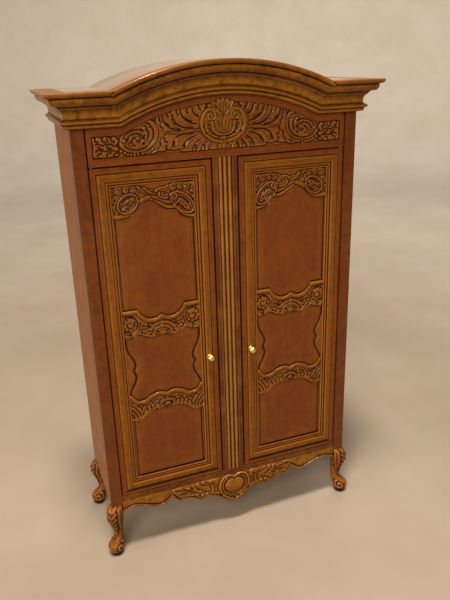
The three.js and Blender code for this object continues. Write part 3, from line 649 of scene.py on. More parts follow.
def add_cornice():
    p, q = CORNICE_LINE.T
    y = FACE_Y - SEAM - p
    knee = ARCH_HALF_SPAN + q * math.tan(ARCH_HALF_ANGLE / 2)
    radius = ARCH_RADIUS + q
    angles = np.linspace(-ARCH_HALF_ANGLE, ARCH_HALF_ANGLE, 66)
    arch = [(radius * math.sin(a), ARCH_CENTRE_Z + radius * math.cos(a)) for a in angles[1:-1]]
    ends = [(x, CORNICE_Z + q) for x in (-CASE_HALF - p, -knee, knee, CASE_HALF + p)]
    rings = [np.column_stack([x, y, z]) for x, z in ends[:2] + arch + ends[2:]]
    sweep_piece("cornice_front_moulding", "cornice_front", "cornice", rings, CORNICE_LINE, CORNICE_TINT_AND_SHADE)
    for side, s in SIDES:
        x = s * (CASE_HALF + SEAM + p)
        rings = [np.column_stack([x, end, CORNICE_Z + q]) for end in (FACE_Y - p, np.full(len(p), BACK_Y))]
        sweep_piece(f"cornice_return_{side}", f"cornice_{side}", "cornice_return", rings, CORNICE_LINE, CORNICE_TINT_AND_SHADE)
    (_, front, _), (_, back, _) = limits("roof_board")
    height = ROOF_Z - CORNICE_Z
    outline = np.vstack([flat_arch_line(CASE_HALF, height), flat_arch_line(CASE_HALF, height - 2)[::-1]])
    plate_piece("roof", "roof_board", "roof", [outline], front, back, 0.15)


# ---- Frieze ----
FRIEZE_LOW, FRIEZE_HIGH = limits("frieze_panel")
GROUND = 0.9
GROUND_Z = FRIEZE_LOW[2] + 2.9
SHOULDER_Z = FRIEZE_LOW[2] + 11.1
GROUND_HALF = 52.4
PLUME_RADIUS = 6.5


def recess_top(x):
    """The upper edge of the carved ground: stepped at its ends, arched between them, with a round top for the plume."""
    arch = ARCH_CENTRE_Z + np.sqrt((ARCH_RADIUS - 2.7) ** 2 - x ** 2)
    plume = CORNICE_Z + 2 + np.sqrt(np.clip(PLUME_RADIUS ** 2 - x ** 2, 0, None))
    return np.maximum(np.maximum(arch, SHOULDER_Z), np.where(np.abs(x) < PLUME_RADIUS, plume, 0))


def add_frieze_board():
    """A front board with an opening round the carving, over a second board that is the carving's ground."""
    half = FRIEZE_HIGH[0] - 0.55
    outline = np.vstack([[[half, FRIEZE_LOW[2]]], flat_arch_line(half, 10.9)[::-1], [[-half, FRIEZE_LOW[2]]]])
    x = np.linspace(GROUND_HALF, -GROUND_HALF, 140)
    sill = [[-GROUND_HALF, GROUND_Z], [GROUND_HALF, GROUND_Z]]
    opening = np.vstack([np.column_stack([x, recess_top(x)]), sill])[::-1]
    ground_y = FACE_Y + GROUND
    plate_piece("frieze_board", "frieze_panel", "level", [outline, opening], FACE_Y, ground_y + 0.1, 0.14, 0.25)
    plate_piece("frieze_ground", "frieze_panel", "level", [outline], ground_y, FRIEZE_HIGH[1], 0.1, 0.7)


# Outlines and cuts on one half of the frieze, above the post's foot.
LEAVES = np.vstack([
    drawn("""6.6,172.4 7.6,173.6 9.4,173.9 10.6,173 12.2,173.4 13.6,172.4 15.4,173.1 17.2,172.1 19.2,172.4
        21.2,171 22.8,171.6 24.6,170.8 26,171 27,169.4"""),
    drawn("""29.5,158.2 31.6,156.2 29,156 27.2,156.8 25.2,156.6 23,157.3 20.6,156.8 18.2,157.1 16.8,155.9
        3,155.8"""),
])
UPPER_CUTS = """7.2,173.8 6.9,172.8 7.9,171.6; 10.3,173.2 10,171.8 9.3,170.8; 12.9,172.6 12.5,170.6
    11.4,169.3 10,168.7; 17.8,172.2 17.4,170.2 16,168.1 13.6,166.6 10.6,165.9; 21.4,171 20.6,168.4 18.6,166
    15.6,164.8 12,164.7; 25,170.9 24.6,168.2 23.2,166.1 20.6,164.6 17,164.1"""
LOWER_CUTS = """5.4,158.3 6.2,157.2 6.6,155.8; 7.2,159.4 9.1,157.7 10.1,155.8; 9.3,160.7 12,158.9
    13.5,155.9; 10.6,162.1 14.2,160.9 16.8,158.7 17.7,156.4; 12,162.9 17,162.6 20,161.4 21.3,159 21.8,157.2"""
LEAF_MARKS = """26.8,168.6 25.2,167.6 25.8,166.2 24.8,165.2 25.2,163.9; 24,167.2 22.8,166.6 22.2,165.4;
    21.4,168.6 20.6,166.8 19.2,166.2; 14.8,172.4 15.1,171 14.2,169.9; 19.2,171.8 18.9,170.4 17.9,169.4;
    23,171 22.9,169.8 22.1,169; 15.9,168.7 14.4,167.6 12.6,167.2; 23.4,163 24.5,162.2 24.2,160.4
    22.7,159.8; 25.2,161.8 26.2,160.6 26.2,158.8 27.6,157.4; 28.4,157.9 29.4,157 30.6,156.4; 20.4,160.2
    20.7,158.8 20.1,157.6; 15.9,160 16.4,158.4 16.2,157; 11.6,158.3 11.9,157 11.6,156; 8,158 8.3,157 8,156;
    23.6,159.2 24,158 23.4,157.2; 26.2,170.6 26.2,169.2 25.4,168.4"""
MEDALLION = drawn("""32.9,168.5 30.2,169 27.7,167.2 26.8,164.2 27.8,160.6 30.8,157.8 35.2,156.7 39.6,157.6
    42,160.3 41.2,163 38.8,165.2 35.6,167 32.9,168.5""")[:-1]
MEDALLION_CUTS = """32.4,167.5 30.4,167.4 29,165.6 28.6,163.6 29.4,160.9 31.8,158.8 35.4,158 38.8,158.8
    40.4,160.6; 32,166.6 30.9,165 30.6,163.2 31.4,161; 40.6,162.2 39,164 36.4,165.2 33.8,165.2 32.2,164.2;
    39.2,160.9 37.8,163.2 35.4,164 33.4,163.2 33.1,161.8 34.3,160.9 35.6,161.4; 37.2,160.3 36.8,161.8
    35.4,162.6; 31.8,163.4 32.4,162.4 32.2,161.2"""
SPRAY = drawn("""42.3,162.4 43.6,163.5 45,163 46.8,163.6 48.2,163 49.8,163.7 51,163.1 52,163.6 51.8,160
    52,156.4 49,156 45,156 42.4,156.6 43.4,157.7 42.2,158.9 43.2,160.2 42.1,161.3""")
SPRAY_CUTS = """51.9,160.6 50,161 48,160.4 46,160.8 43.6,159.9 42.6,160; 51.6,157.8 50,158.8 47.8,158.2
    45.6,158.4 43,158; 45.1,163.2 45,162 43.4,161.3; 48.3,163.2 48.2,162 46.6,161.2; 51,163.2 51,162.2
    49.6,161.4; 46.6,160.6 46.4,159.4 44.6,158.8; 49.6,160.6 49.6,159.4 47.8,158.8; 46.8,156 46.6,157.2
    45,157.6; 50.4,156 50,157.2 48.4,157.8; 44.2,156 44,157 43,157.4; 46.4,163.2 46.6,162.2 45.8,161.6"""
HEART = drawn("""0,158.2 2.4,158.4 5.6,159.7 8.4,162 9.7,165 9.4,168.4 7.7,170.9 5.2,171.8 2.8,171
    1.3,169.4 0,168.6""")
PLUME = points("1.5,172 4.4,175 6.4,173.4")


def frieze_relief(x, z):
    """Leaves, medallion and end spray on one half of the frieze, drawn for positive x above the post's foot."""
    r = Relief(np.abs(x), z - FOOT_Z, 0.02)
    r.mass(LEAVES, 0.84, 0.45)
    for cuts in (UPPER_CUTS, LOWER_CUTS):
        r.cuts(cuts, 0.72, 1.0, 0.13, 0.05)
        paths = cuts.split(";")
        for first, second in zip(paths[1:], paths[2:]):
            r.vein(first, second)
    r.cuts(LEAF_MARKS, 0.5, 0.5, 0.13, 0.05)
    r.stem("9.4,163.7 14,163.8 19,163.3 24,163.6", 0.9, 0.3, 0.66, (1, 0.8, 0.6, 0.4))
    r.mass(MEDALLION, 0.82, 0.4)
    r.cuts(MEDALLION_CUTS, 0.6, 0.7, 0.2, 0.15)
    for cx, cz, size in points("32.5,160.3,0.8 33.4,168.2,0.6 38.7,161.9,0.6 36.2,159.7,0.45 30,166,0.4"):
        r.dome(cx, cz, size, size * 0.7, -20, -0.4, 0.45)
    for cx, cz, size in points("34.8,162.2,0.7 32.2,165.8,0.7 37.6,160.2,0.6 40.2,161.6,0.8"):
        r.dome(cx, cz, size, size * 0.85, 20, 0.3, 0.75)
    r.beads("29.4,158 31.6,156.9 35,156.2 38.6,156.5 41.4,157.9", 11, 0.55, 0.45, 0.25)
    r.mass(SPRAY, 0.8, 0.45)
    r.cuts(SPRAY_CUTS, 0.6, 0.6, 0.13, 0.05)
    r.h[r.inside(HEART)] = 0.02
    # A dark ring painted on the ground round the heart and the plume: painted shade at their foot, with glazing.
    for path in (HEART, PLUME):
        index, _, away = r.near(path, 1.5)
        r.darken(index, np.maximum(np.abs(away) - 0.55, 0), 1.0)
    return r.finished()


def add_frieze_carvings():
    columns = np.linspace(0.03, GROUND_HALF - 0.25, 300)
    rows = np.linspace(0, 1, 112)
    low = GROUND_Z + 0.12
    ground_y = FACE_Y + GROUND
    for side, s in SIDES:
        x = np.repeat((s * columns[::s])[:, None], len(rows), 1)
        z = low + (recess_top(x) - 0.2 - low) * rows
        h, shade = frieze_relief(x, z)
        slab_piece(f"frieze_leaves_{side}", f"frieze_carving_{side}", "carved", x, z, h, ground_y - 0.03,
                   ground_y + 0.3, shade, 0.6)


def add_frieze_heart():
    """The heart-shaped pair of scrolls in the middle, with a shell inside it and a plume of leaves above."""
    columns = np.linspace(-10.2, 10.2, 190)
    x, z = np.meshgrid(columns, np.linspace(GROUND_Z + 0.2, FOOT_Z + 176, 190), indexing="ij")
    r = Relief(np.abs(x), z - FOOT_Z, -0.25)
    fingers = (("1,167.8 3.8,171 6.1,172.9", 1.9), ("0.8,167.6 2.6,171.6 4.3,174.3", 2.2),
               ("0.4,167.5 1.3,171.4 2.1,175.1", 1.8), ("0,167.5 0,172 0,175.9", 1.5))
    for k, (path, width) in enumerate(fingers):
        r.petal(path, width, 1.0 + 0.06 * k, -0.05, (0.4, 0.8, 1, 1, 0.6), flutes=1)
    r.mass(HEART, 0.75, 0.5, 0.1)
    ring = HEART * 0.93 + [0, 165 * 0.07]
    r.stem(ring[:-8], 1.3, 0.42, 0.7, (1, 1, 1, 0.9, 0.8))
    r.stem(volute(5.2, 168.7, 2.3, 0.4, 70, 500), 0.95, 0.4, 0.62)
    r.cuts("""3.2,167 6.9,166.4 7.6,164.4 6.4,161.9 3.6,160.2 0,159.6;
        5.6,166.2 5.6,163.8 4.4,161.9 2.4,160.8 0,160.6""", 0.7, 0.6, 0.2)
    r.petal("6.9,167 7.3,164.6 5.7,161.9 2.6,160.4", 1.5, 0.4, 0.5, (0.5, 1, 0.9, 0.5), lobes=6, notch=0.45)
    r.pits("6.1,165.4 5.9,163.6 4.7,161.9 3,161.2 8.3,165 7.4,162.2")
    r.stem("0,161.5 2.4,161.8 4.2,163.3 4.7,166.3", 0.9, 0.35, 0.6)
    for path in ("0.9,162.2 2.4,164.2 3.3,166.4", "0.5,162 1.3,164.4 1.7,166.9", "0,161.8 0,164 0,167.2"):
        r.petal(path, 1.15, 0.5, 0.5, (0.4, 0.8, 1, 0.7))
    r.dome(3.3, 157.2, 1.35, 1.2, 0, 0.75, 0.05)
    r.dome(3.3, 157.2, 0.7, 0.6, 0, -0.25, 0.7)
    r.petal("0.6,158.2 1.6,157 2,155.8", 1.3, 0.7, 0, (0.8, 1, 0.5))
    r.petal("0,158.4 0,157 0,155.8", 1.8, 0.8, 0, (1, 1, 0.5))
    h, shade = r.finished()
    # Less painted shade and glazing in the heart's hollows.
    shade = np.where(shade < 0.5, 0.2 + 0.6 * shade, shade)
    leafwork_piece("frieze_heart", "frieze_cartouche", x, z, h, shade, FACE_Y + GROUND, 0.35, 0.95)


# ---- Pilaster ----
def add_pilaster():
    """Three reeds between flat margins."""
    low, high = limits("centre_pilaster")
    half, depth = high[0], high[1] - low[1]
    corners = [(-half, 0.7, 0), (-half + 0.3, 0.3, 0), (-4.6, 0.25, 0), (-3.15, 0.2, 0), (-3.05, 0.55, 0)]
    for centre in (-2, 0, 2):
        corners += [(centre - 0.85, 0.6, -0.34), (centre + 0.85, 0.6, 0)]
    corners += [(3.05, 0.4, 0), (3.15, 0.2, 0), (4.6, 0.25, 0), (half - 0.3, 0.3, 0), (half, 0.7, 0)]
    corners += [(half, depth, 0), (-half, depth, 0)]
    line = moulding(corners)
    x, y = line.T
    rings = [np.column_stack([x, FACE_Y + y, np.full(len(x), z)]) for z in np.linspace(low[2], high[2], 3)]
    # Painted shade: the edges beside the doors are inked dark, and the flat margins get a dark tint.
    ink = np.exp(-((half - np.abs(x)) / 0.35) ** 2)
    sweep_piece("pilaster", "centre_pilaster", "reeds", rings, line, np.where(np.abs(x) < 3, 0.6, 0.1), ink=ink)


# ---- Apron ----
APRON_LOW, APRON_HIGH = limits("front_apron")
APRON_EDGE = joined(
    "54.84,-4.6 49,-3 41,-5.5 35.5,-6.3 31.2,-3.4",
    "31.2,-3.4 27.5,-6.9 24.5,-6.1 17.5,-9.3",
    "17.5,-9.3 12,-8.4 7,-11.2 3,-14 0,-14.6",
)[::-1]


def add_apron():
    """A board whose shaped lower edge carries a beaded lip."""
    half = APRON_HIGH[0]
    columns = np.linspace(-half, half, 600)
    rows = np.linspace(0, 1, 100) ** 1.2
    foot = height_on(APRON_EDGE, np.abs(columns))[:, None]
    x = np.repeat(columns[:, None], len(rows), 1)
    z = foot + (APRON_HIGH[2] - FOOT_Z - foot) * rows
    r = Relief(np.abs(x), z)
    r.h[:] = np.interp(z, [-15, -1.2, -0.4, 0.8, 1.4, 4], [-0.4, -0.4, -0.3, -0.05, 0, 0])
    index, _, away = r.near(APRON_EDGE, 3)
    away = np.abs(away)
    lip = np.interp(away, [0, 0.25, 0.6, 0.95, 1.15, 1.5, 2.2], [-0.3, -0.06, 0.0, -0.15, -0.65, -0.5, -0.4])
    lip = np.where(away < 1.1, lip, np.minimum(lip, r.h[index]))
    r.h[index] = np.where(away < 2.2, lip, r.h[index])
    # A dark line painted in the hollow behind the bead: glazing and painted shade.
    r.darken(index, (away - 1.25) * 0.9, 1.0)
    r.cut(np.array([(0, 1.35), (half, 1.35)]), 0.15, 0.3, 0.2, -1)
    # The gold peaks on the rounded band across the apron: partly the wood's gold, partly a painted highlight where it
    # faces up.
    tint = np.interp(z, [-14, -1, 0.2, 1.2, 1.5, 4], [0.55, 0.75, 1.0, 0.8, 0.15, 0.15])
    _, shade = r.finished()
    slab_piece("apron", "front_apron", "cornice", x, z + FOOT_Z, blurred(r.h, 0.5), FACE_Y, APRON_HIGH[1], shade, tint)


APRON_SPRAY = np.vstack([
    drawn("""8,0.6 10,1.1 13,0.8 15,1.1 17.6,0.7 19,1 20.2,0.2 21.5,1 22.7,0.1 24,-0.3 26.4,0.8 29,1.2
        31.4,0.4"""),
    drawn("30.6,-1.6 28.6,-4 26.8,-5.2 24,-4.9 20,-6.4 17.4,-7.9 15.4,-7.6 12,-7.2 8,-8.8"),
])
APRON_CUTS = """22.7,0.6 22.2,-0.8 20.6,-2.2; 20.2,0.6 19.6,-1.4 17.8,-3.2 15.6,-3.8; 18.2,0.9 16.8,-0.8
    13.8,-1.7 9.2,-1.5; 28,-3.6 24.4,-2.9 21,-3.5 18.4,-4.8; 30.4,-0.4 27,-1.2 23.6,-1.9 21,-2.8; 26.4,0.8
    25.8,-0.4 24.2,-1.2; 17.4,-7.4 17,-5.8 15.6,-4.9 14,-5.1; 15,-7.2 14.2,-5.9 12.6,-5.5; 13,-2 12.2,-3.8
    12.4,-6.6; 11,-1.8 10.2,-4 10.4,-7; 9.2,-2.4 8.9,-4.6 9.1,-7.4; 15.2,0.9 14.4,-0.2 12.6,-0.7; 26,-4.6
    25,-3.8 23.4,-3.8; 22.4,-4.9 21.6,-4.3 20.2,-4.5; 19.6,-2.4 18.6,-2.8 17.6,-3.9"""


def add_apron_carvings():
    x, z = np.meshgrid(np.linspace(7.4, 32, 160), np.linspace(-9.4, 1.8, 84), indexing="ij")
    r = Relief(x, z, -0.15)
    r.mass(APRON_SPRAY, 0.62, 0.5)
    r.cuts(APRON_CUTS, 0.5, 0.7, 0.13, -0.02)
    for cx, cz in points("16.4,-6.3 14.2,-6.4 19.2,-5.4"):
        r.dome(cx, cz, 1.0, 0.8, 0, 0.4, 0.5)
    h, shade = r.finished()
    h = np.where(z > height_on(APRON_EDGE, x) + 0.9, h, -0.15)
    for side, s in SIDES:
        leafwork_piece(f"apron_leaves_{side}", f"apron_carving_{side}", s * x[::s], z[::s] + FOOT_Z, h[::s],
                       shade[::s], FACE_Y + 0.35, 0.3, 0.85)


def add_apron_heart():
    """A scrolled frame round a raised oval."""
    x, z = np.meshgrid(np.linspace(-9.2, 9.2, 150), np.linspace(-15.2, 2.4, 150), indexing="ij")
    r = Relief(np.abs(x), z, -0.15)
    rim = drawn("0,-14.2 2,-13.2 5.6,-10.6 7.6,-7 7.9,-3.4 6.6,-0.2 4.2,1.4 2,1.3 0,0.2")
    r.mass(rim, 0.5, 0.4)
    r.stem(rim * [0.93, 0.93] + [0, -0.3], 1.25, 0.5, 0.55, (1, 1, 1, 0.9, 0.7))
    r.stem("0,-11.2 2.4,-10.4 5,-8.2 6,-5 5.4,-1.9 3.6,-0.4", 0.9, 0.4, 0.45, (0.6, 1, 1, 0.8))
    r.dome(0, -4.7, 4.9, 4.0, 0, 0.9, 0.5, 0.42)
    r.cut("0,-0.4 0,-2", 0.6, 0.4, 0.4, 0.4)
    r.cuts("""2.6,-12.4 1.8,-11.6 0.6,-11.4; 0,-13.6 0,-12.4 0,-11.6; 7.2,-9.4 6.4,-8.6 6,-7.6;
        4.8,-11.6 4.2,-10.6 3.4,-10.2""", 0.4, 0.4, 0.2, 0.1)
    h, shade = r.finished()
    tint = np.where(np.hypot(x / 4.9, (z + 4.7) / 4.0) < 1, 1.0, 0.6)
    leafwork_piece("apron_heart", "apron_cartouche", x, z + FOOT_Z, h, shade, FACE_Y + 0.1, 0.3, tint)


# ---- Legs ----
# Each row of a leg's sections is its height, its shift outwards, and its half widths outwards and across.
LEG_SECTIONS = points("""0,4.1,2.5,2.4 1.8,4.0,3.2,2.8 3.5,4.1,3.7,3.1 5.5,3.7,3.6,3.0 7.5,2.2,2.7,2.5
    9.5,1.2,2.1,2.2 12,1.2,2.4,2.4 15,1.7,2.9,2.8 18,2.4,3.5,3.2 21,2.6,3.9,3.5 24,1.6,3.8,3.3
    26,0.2,3.1,2.9""")
LEG_HEIGHT = 26


def add_leg(name, node, x, y, outward):
    """A cabriole leg with an acanthus knee and a scrolled foot."""
    heights, shift, along, across = spline(LEG_SECTIONS, 9)[..., None].transpose(1, 0, 2)
    ux, uy = np.array(outward) / math.hypot(*outward)
    angle, height = np.meshgrid(np.linspace(-math.pi, math.pi, 97)[:-1], heights)
    r = Relief(np.abs(angle) * 3.2, height)
    r.petal("0,25.6 0,17 0,9", 5.6, 0.7, 0, (0.8, 1, 0.8, 0.3), flutes=1)
    for top in (24.8, 22.2, 19.6, 17, 14.4):
        r.cut(spline(np.array([(2.8, top), (1.6, top - 1.5), (0.5, top - 2.9)])), 0.5, 0.5, 0.15, -0.2)
    r.petal("3.6,25.6 4.6,20 3.4,13", 3.0, 0.5, 0, (0.7, 1, 0.3), flutes=1)
    r.petal("7.2,25.6 7.6,21 6.4,16", 2.8, 0.4, 0, (0.7, 1, 0.3), flutes=1)
    r.stem(volute(4.4, 4.6, 2.3, 0.3, 90, -500), 0.9, 0.5)
    # The lowest 2.4 mm of the foot is darkened.
    r.ink = np.maximum(r.ink, np.interp(height, [0, 1.6, 2.4], [0.9, 0.9, 0]))
    h, shade = r.finished()
    out, aside = shift + np.cos(angle) * (along + h) - 0.25, np.sin(angle) * (across + h)
    py = np.minimum(y + out * uy + aside * ux, BACK_Y)
    rings = np.stack([x + out * ux - aside * uy, py, height / LEG_HEIGHT * (FOOT_Z - SEAM)], -1)
    ring_piece(name, node, "carved", rings, shade)


def add_legs():
    for side, s in SIDES:
        leg_x = CASE_HALF - 3
        add_leg(f"cabriole_front_{side}", f"leg_front_{side}", s * leg_x, FACE_Y + 3.1, (s, -1))
        add_leg(f"cabriole_back_{side}", f"leg_back_{side}", s * (leg_x - 0.4), BACK_Y - 3.6, (s, 0))


# ---- Doors ----
BAR_LINE = moulding(points("""0,3.2,0 0,0.5,0 0.2,0.25,0 1.3,0.25,0 1.6,0.25,0 2.15,0.25,0 2.35,0.5,0
    2.6,0.55,0 2.75,0.1,-0.05 5.2,0.1,0 5.45,0.3,0 5.5,0.7,0 5.65,0.7,-0.25 6.8,0.85,0 6.9,1.15,0
    7.05,0.75,-0.4 7.6,0.8,0 7.6,3.2,0"""))
BAR_TINT = np.interp(BAR_LINE[:, 0], [0, 2.3, 2.6, 5.2, 5.8, 6.9, 7.6], [0.2, 0.25, 0.9, 0.9, 0.4, 0.5, 0.4])
PANEL_GROUND, FIELD_DEPTH, PANEL_BACK = 1.4, 0.9, 3.2


def mirrored(edge):
    """An edge drawn from the middle outwards, with its mirror image."""
    return np.vstack([edge[:0:-1] * [-1, 1], edge])


# Edges of the carvings over a door's width, above the post's foot. u runs from its hinge side to its lock side.
CREST_LOW = joined("-16.8,131.6 -14.6,131.9 -10.6,132.5 -7.6,134.6 -6,136.6 -2.8,138.4 0,138",
                   """0,138 2.2,136 4.2,134.7 6.4,134.1 9.2,133.8 10.4,131.9 12.4,130.5 14.6,129.7
                       16.8,129.6""")
MID_TOP = mirrored(joined("""0,89.9 1.6,88.9 4,88.4 6.6,89.1 8.8,90.9 10.2,93.2""", "10.2,93.2 12,93.3 16.8,93.3"))
MID_LOW = mirrored(joined("0,80.6 2.5,80 4.6,79.8 7.4,80.7 10.4,82.1 13,81 16.8,80.6"))
LOW_TOP = mirrored(joined("0,52.4 1.8,53.2 4,53.5 7,52.6 9.6,51.1 12,50.7 13.8,51.4 15.4,53.4",
                          "15.4,53.4 16,54 16.8,54"))
LOW_LOW = mirrored(joined("0,44.6 2,45 5.5,45 8.2,44.2 10.4,42.4 11.8,41.2 13.6,41 16.8,41.6"))
FIELD_SIDE = joined("53,15.9 56,15.2 59.5,13.4 62.5,12.7 65.3,13.5",
                    "65.3,13.5 67.5,12.7 70,13 74,15 78,15.9 82,15.9")


def field_distance(u, z):
    """How far each point of a door's panel lies inside one of its raised fields, negative outside."""
    upper = np.minimum(height_on(CREST_LOW, u) - 0.2 - z, z - height_on(MID_TOP, u) - 0.2)
    middle = np.minimum(height_on(MID_LOW, u) - 0.2 - z, z - height_on(LOW_TOP, u) - 0.2)
    lower = np.minimum(height_on(LOW_LOW, u) - 0.2 - z, z - 12.7)
    fields = ((upper, 15.8), (middle, height_on(FIELD_SIDE, z)), (lower, 15.3))
    return np.maximum.reduce([np.minimum(band, half - np.abs(u)) for band, half in fields])


def add_door_panel(side, s):
    """A panel with three raised fields, and a narrow raised strip beside the middle one."""
    outer = np.linspace(11.5, DOOR_HALF - BAR - SEAM, 42)
    columns = np.concatenate([-outer[::-1], np.linspace(-11.5, 11.5, 74)[1:-1], outer])
    x, z = np.meshgrid(columns, np.linspace(DOOR_Z + BAR + SEAM, PANEL_TOP, 620), indexing="ij")
    v = z - FOOT_Z
    d = field_distance(-s * x, v)
    h = np.interp(d, [-0.1, 0.1, 0.6, 1.7], [-PANEL_GROUND, -PANEL_GROUND + 0.2, -FIELD_DEPTH - 0.1, -FIELD_DEPTH])
    lens = np.abs(x) - np.interp(v, FIELD_SIDE[:, 0], FIELD_SIDE[:, 1] + 0.5, 20, 20)
    h = np.maximum(h, np.interp(lens, [-0.05, 0.1, 0.6, 1.6], [-PANEL_GROUND, -1.3, -1.0, -FIELD_DEPTH]))
    tint = np.maximum(np.interp(d, [-1, 0, 1.2, 4.5], [0.3, 0.6, 0.5, 0.15]), np.interp(lens, [0, 0.4], [0, 0.75]))
    # Painted shadow: the dark line under the lowest field is widened, and the line is weaker on the fields' left edges,
    # which face the light.
    width = np.interp(v, [13, 14.5], [0.65, LINE])
    strength = np.interp(x, [-14.8, -14], [0.55, 1.0])
    ink = np.maximum(strength * np.exp(-((d + 0.12) / width) ** 2), 0.8 * np.exp(-((lens + 0.05) / LINE) ** 2))
    # Painted shade on the ground below the lowest field.
    ink = np.maximum(ink, np.interp(v, [12.4, 12.8], [0.4, 0]))
    shade = np.clip(relief_shade(h, 2, 1.2) - 0.5 * ink, 0, 1)
    slab_piece(f"door_panel_{side}", f"door_{side}_panel", "panel", s * DOOR_X + x, z, h, FACE_Y,
               FACE_Y + PANEL_BACK, shade, tint)


CREST_RIMS = [
    ("-16.8,133.2 -14.8,132.8 -10.8,133.3 -7.7,135.4 -6.1,137.5 -2.8,139.2 0.4,139.6", 1.7),
    ("-0.6,139.9 2.2,138.4 4.7,137.1 6.7,136.7", 1.1),
    ("-1,138.2 2.2,136.8 4.4,135.4 6.4,134.8 9.5,134.5 10.8,132.6 12.7,131.2 15,130.4 16.8,130.3", 1.1),
]
CREST_LOBES = points("""-16.4,142.4,1.3 -13.9,143,1.7 -10.9,143.2,1.5 -8.1,142.9,1.4 8,142.6,1.6
    10.8,142.9,1.4 13.6,142.5,1.6 16,140.9,1.3 16.6,138.4,1.1 -16.6,139.5,1.1 -16.4,136.8,1.1""")
CREST_PITS = """-16.1,141.3 -15.5,139.4 -16.3,137.6 -15.8,134.6 -14,133.9 -13.4,138.6 -8,138.1 -10.9,136
    -6.8,143.4 -5.6,141.6 -6.1,139.2 1.9,141.2 4.6,140.2 7.2,141.2 9.2,141.4 12.2,141.2 15.4,142.6
    16.1,136.8 10.3,138.2 12.6,137.2 13.2,134.6 14.9,133.4 11.6,134.4 8,136.2"""


def crest_relief(u, z):
    """Two tilted ovals that hold leaves over a double rim, with lobed leaves above them and stems between them."""
    r = Relief(u, z, 0.05)
    top = points("""16.8,144 14.4,144.2 9,144.4 5.6,143.4 3.2,142.8 0.4,142.2 -3,143 -6,144.2 -12,144.6
        -16.8,144""")
    r.mass(np.vstack([CREST_LOW + [0, 0.4], top]), 0.42, 0.35, 0.05)
    for cx, cz, size in CREST_LOBES:
        r.dome(cx, cz, size, size * 0.92, 0, 0.42, 0.3)
        r.cut(volute(cx, cz, size * 0.62, 0.15, 200, -330, 16), 0.34, 0.2, 0.15)
    for path, width in CREST_RIMS:
        r.stem(path, width, 0.36, 0.38)
    r.petal("-6.2,144 -3.6,141.9 -0.8,140.6", 1.3, 0.4, 0.3, (0.6, 1, 0.5), flutes=1)
    r.petal("-3.6,143.4 -1.6,141.4 0.6,140.4", 1.0, 0.4, 0.3, (0.6, 1, 0.5))
    r.petal("0.6,141.6 3,142.2 5,141.9 6.9,140.6", 1.6, 0.42, 0.32, (0.5, 1, 1, 0.8), flutes=1)
    r.stem("2.4,141 2.2,139.7 3.8,138.7 5.6,138.6", 0.8, 0.35, 0.4)
    for cx, cz, rx, rz, tilt in points("-10.5,137.7,4.7,3.6,35 11.7,136.2,6.0,3.5,-42"):
        r.dome(cx, cz, rx, rz, tilt, 0.25, 0.25, 0.3)
        r.stem(ellipse(cx, cz, rx - 0.35, rz - 0.35, tilt, 0, 360), 0.7, 0.28, 0.5)
    r.petal("""-7.6,139.6 -10,138.3 -13.4,135.4""", 2.6, 0.45, 0.32, (0.5, 1, 1, 0.5), flutes=1, lobes=4, notch=0.4)
    r.cuts("""-8.8,140 -10.4,139.9 -12.8,138.4; -13.5,135.8 -11.4,137.2 -9.6,137.4; -11,135.2 -9.4,136.2
        -8.6,137.4""",
           0.55, 0.3, 0.15)
    r.stem(volute(8.2, 138.7, 1.7, 0.4, 150, -400), 0.8, 0.3, 0.45)
    r.petal("9.6,137.6 12,135.8 14.6,133", 2.8, 0.45, 0.32, (0.6, 1, 0.9, 0.4), flutes=1, lobes=5, notch=0.4)
    r.cuts("10.4,138.9 12.6,137.6 14.6,135.4; 9.4,136 11.4,134.6 12.8,132.9", 0.55, 0.3, 0.15)
    r.pits(CREST_PITS)
    return r.finished()


def middle_relief(u, z):
    """A smooth rim over a shell, leaf sprays beside it, and rosettes in the corners."""
    r = Relief(np.abs(u), z, 0.0)
    r.mass(np.vstack([MID_TOP, MID_LOW[::-1]]), 0.5, 0.3, 0.05)
    r.stem(MID_TOP + [0, -0.95], 1.7, 0.28, 0.4)
    r.cuts("0,87 2.4,86.6 4,85.8 5.6,85 7.4,85.4 8.7,86.4", 0.5, 0.6, 0.25)
    r.cut(ellipse(0, 80.4, 5, 4.7, 0, 0, 90, 16), 0.5, 0.3, 0.25)
    r.cut(ellipse(0, 80.4, 3.5, 3.1, 0, 10, 80, 16), 0.4, 0.4, 0.2)
    r.dome(0, 81.4, 1.7, 1.2, 0, 0.3, 0.42)
    r.dome(2.4, 81.3, 0.8, 0.8, 0, 0.3, 0.4)
    r.cuts("""2,80.4 2.4,81.6 1.6,82.4; 4.7,84.4 6.4,84.3 7.6,83; 5,82.4 6.2,83 6.8,82; 7.2,84 8.6,84.4
        9.6,83.4; 7,81.4 8,82.4 9.4,82.6; 9.2,87.6 9.8,85.4 10.4,83.4; 4.2,86.9 5.6,86.4 6.6,86.6""", 0.45, 0.4, 0.2)
    r.dome(13.7, 86.9, 3.1, 3.1, 0, 0.25, 0.4)
    r.cut(ellipse(13.7, 86.9, 3.1, 3.3, 0, 20, 320, 30), 0.5, 0.4, 0.2)
    r.cut(volute(13.7, 86.9, 2.1, 0.5, 120, 420, 30), 0.45, 0.35, 0.18)
    for angle in range(20, 340, 45):
        ray = np.array([13.7, 86.9]) + np.outer((2.1, 3.2), heading(angle))
        r.cut(spline(ray), 0.3, 0.25, 0.15)
    r.dome(15.2, 82.3, 1.4, 1.3, 0, 0.4, 0.35)
    r.cuts("""16.6,84 15,84 13.6,83.4; 13.4,83.2 13.7,81.8 13.2,80.8; 15.8,83 14.6,82.6 14.8,81.8;
        16.6,91.2 14.6,91 12.6,90.4 11.2,89""", 0.5, 0.4, 0.2)
    r.pits("""6.1,85.6 8.6,85.4 4,86.2 1.9,81.8 5.6,81.2 9.1,82.9 12.1,86.8 15.9,84.2 15.2,90.2 16.3,88
        13.9,82.4""")
    return r.finished()


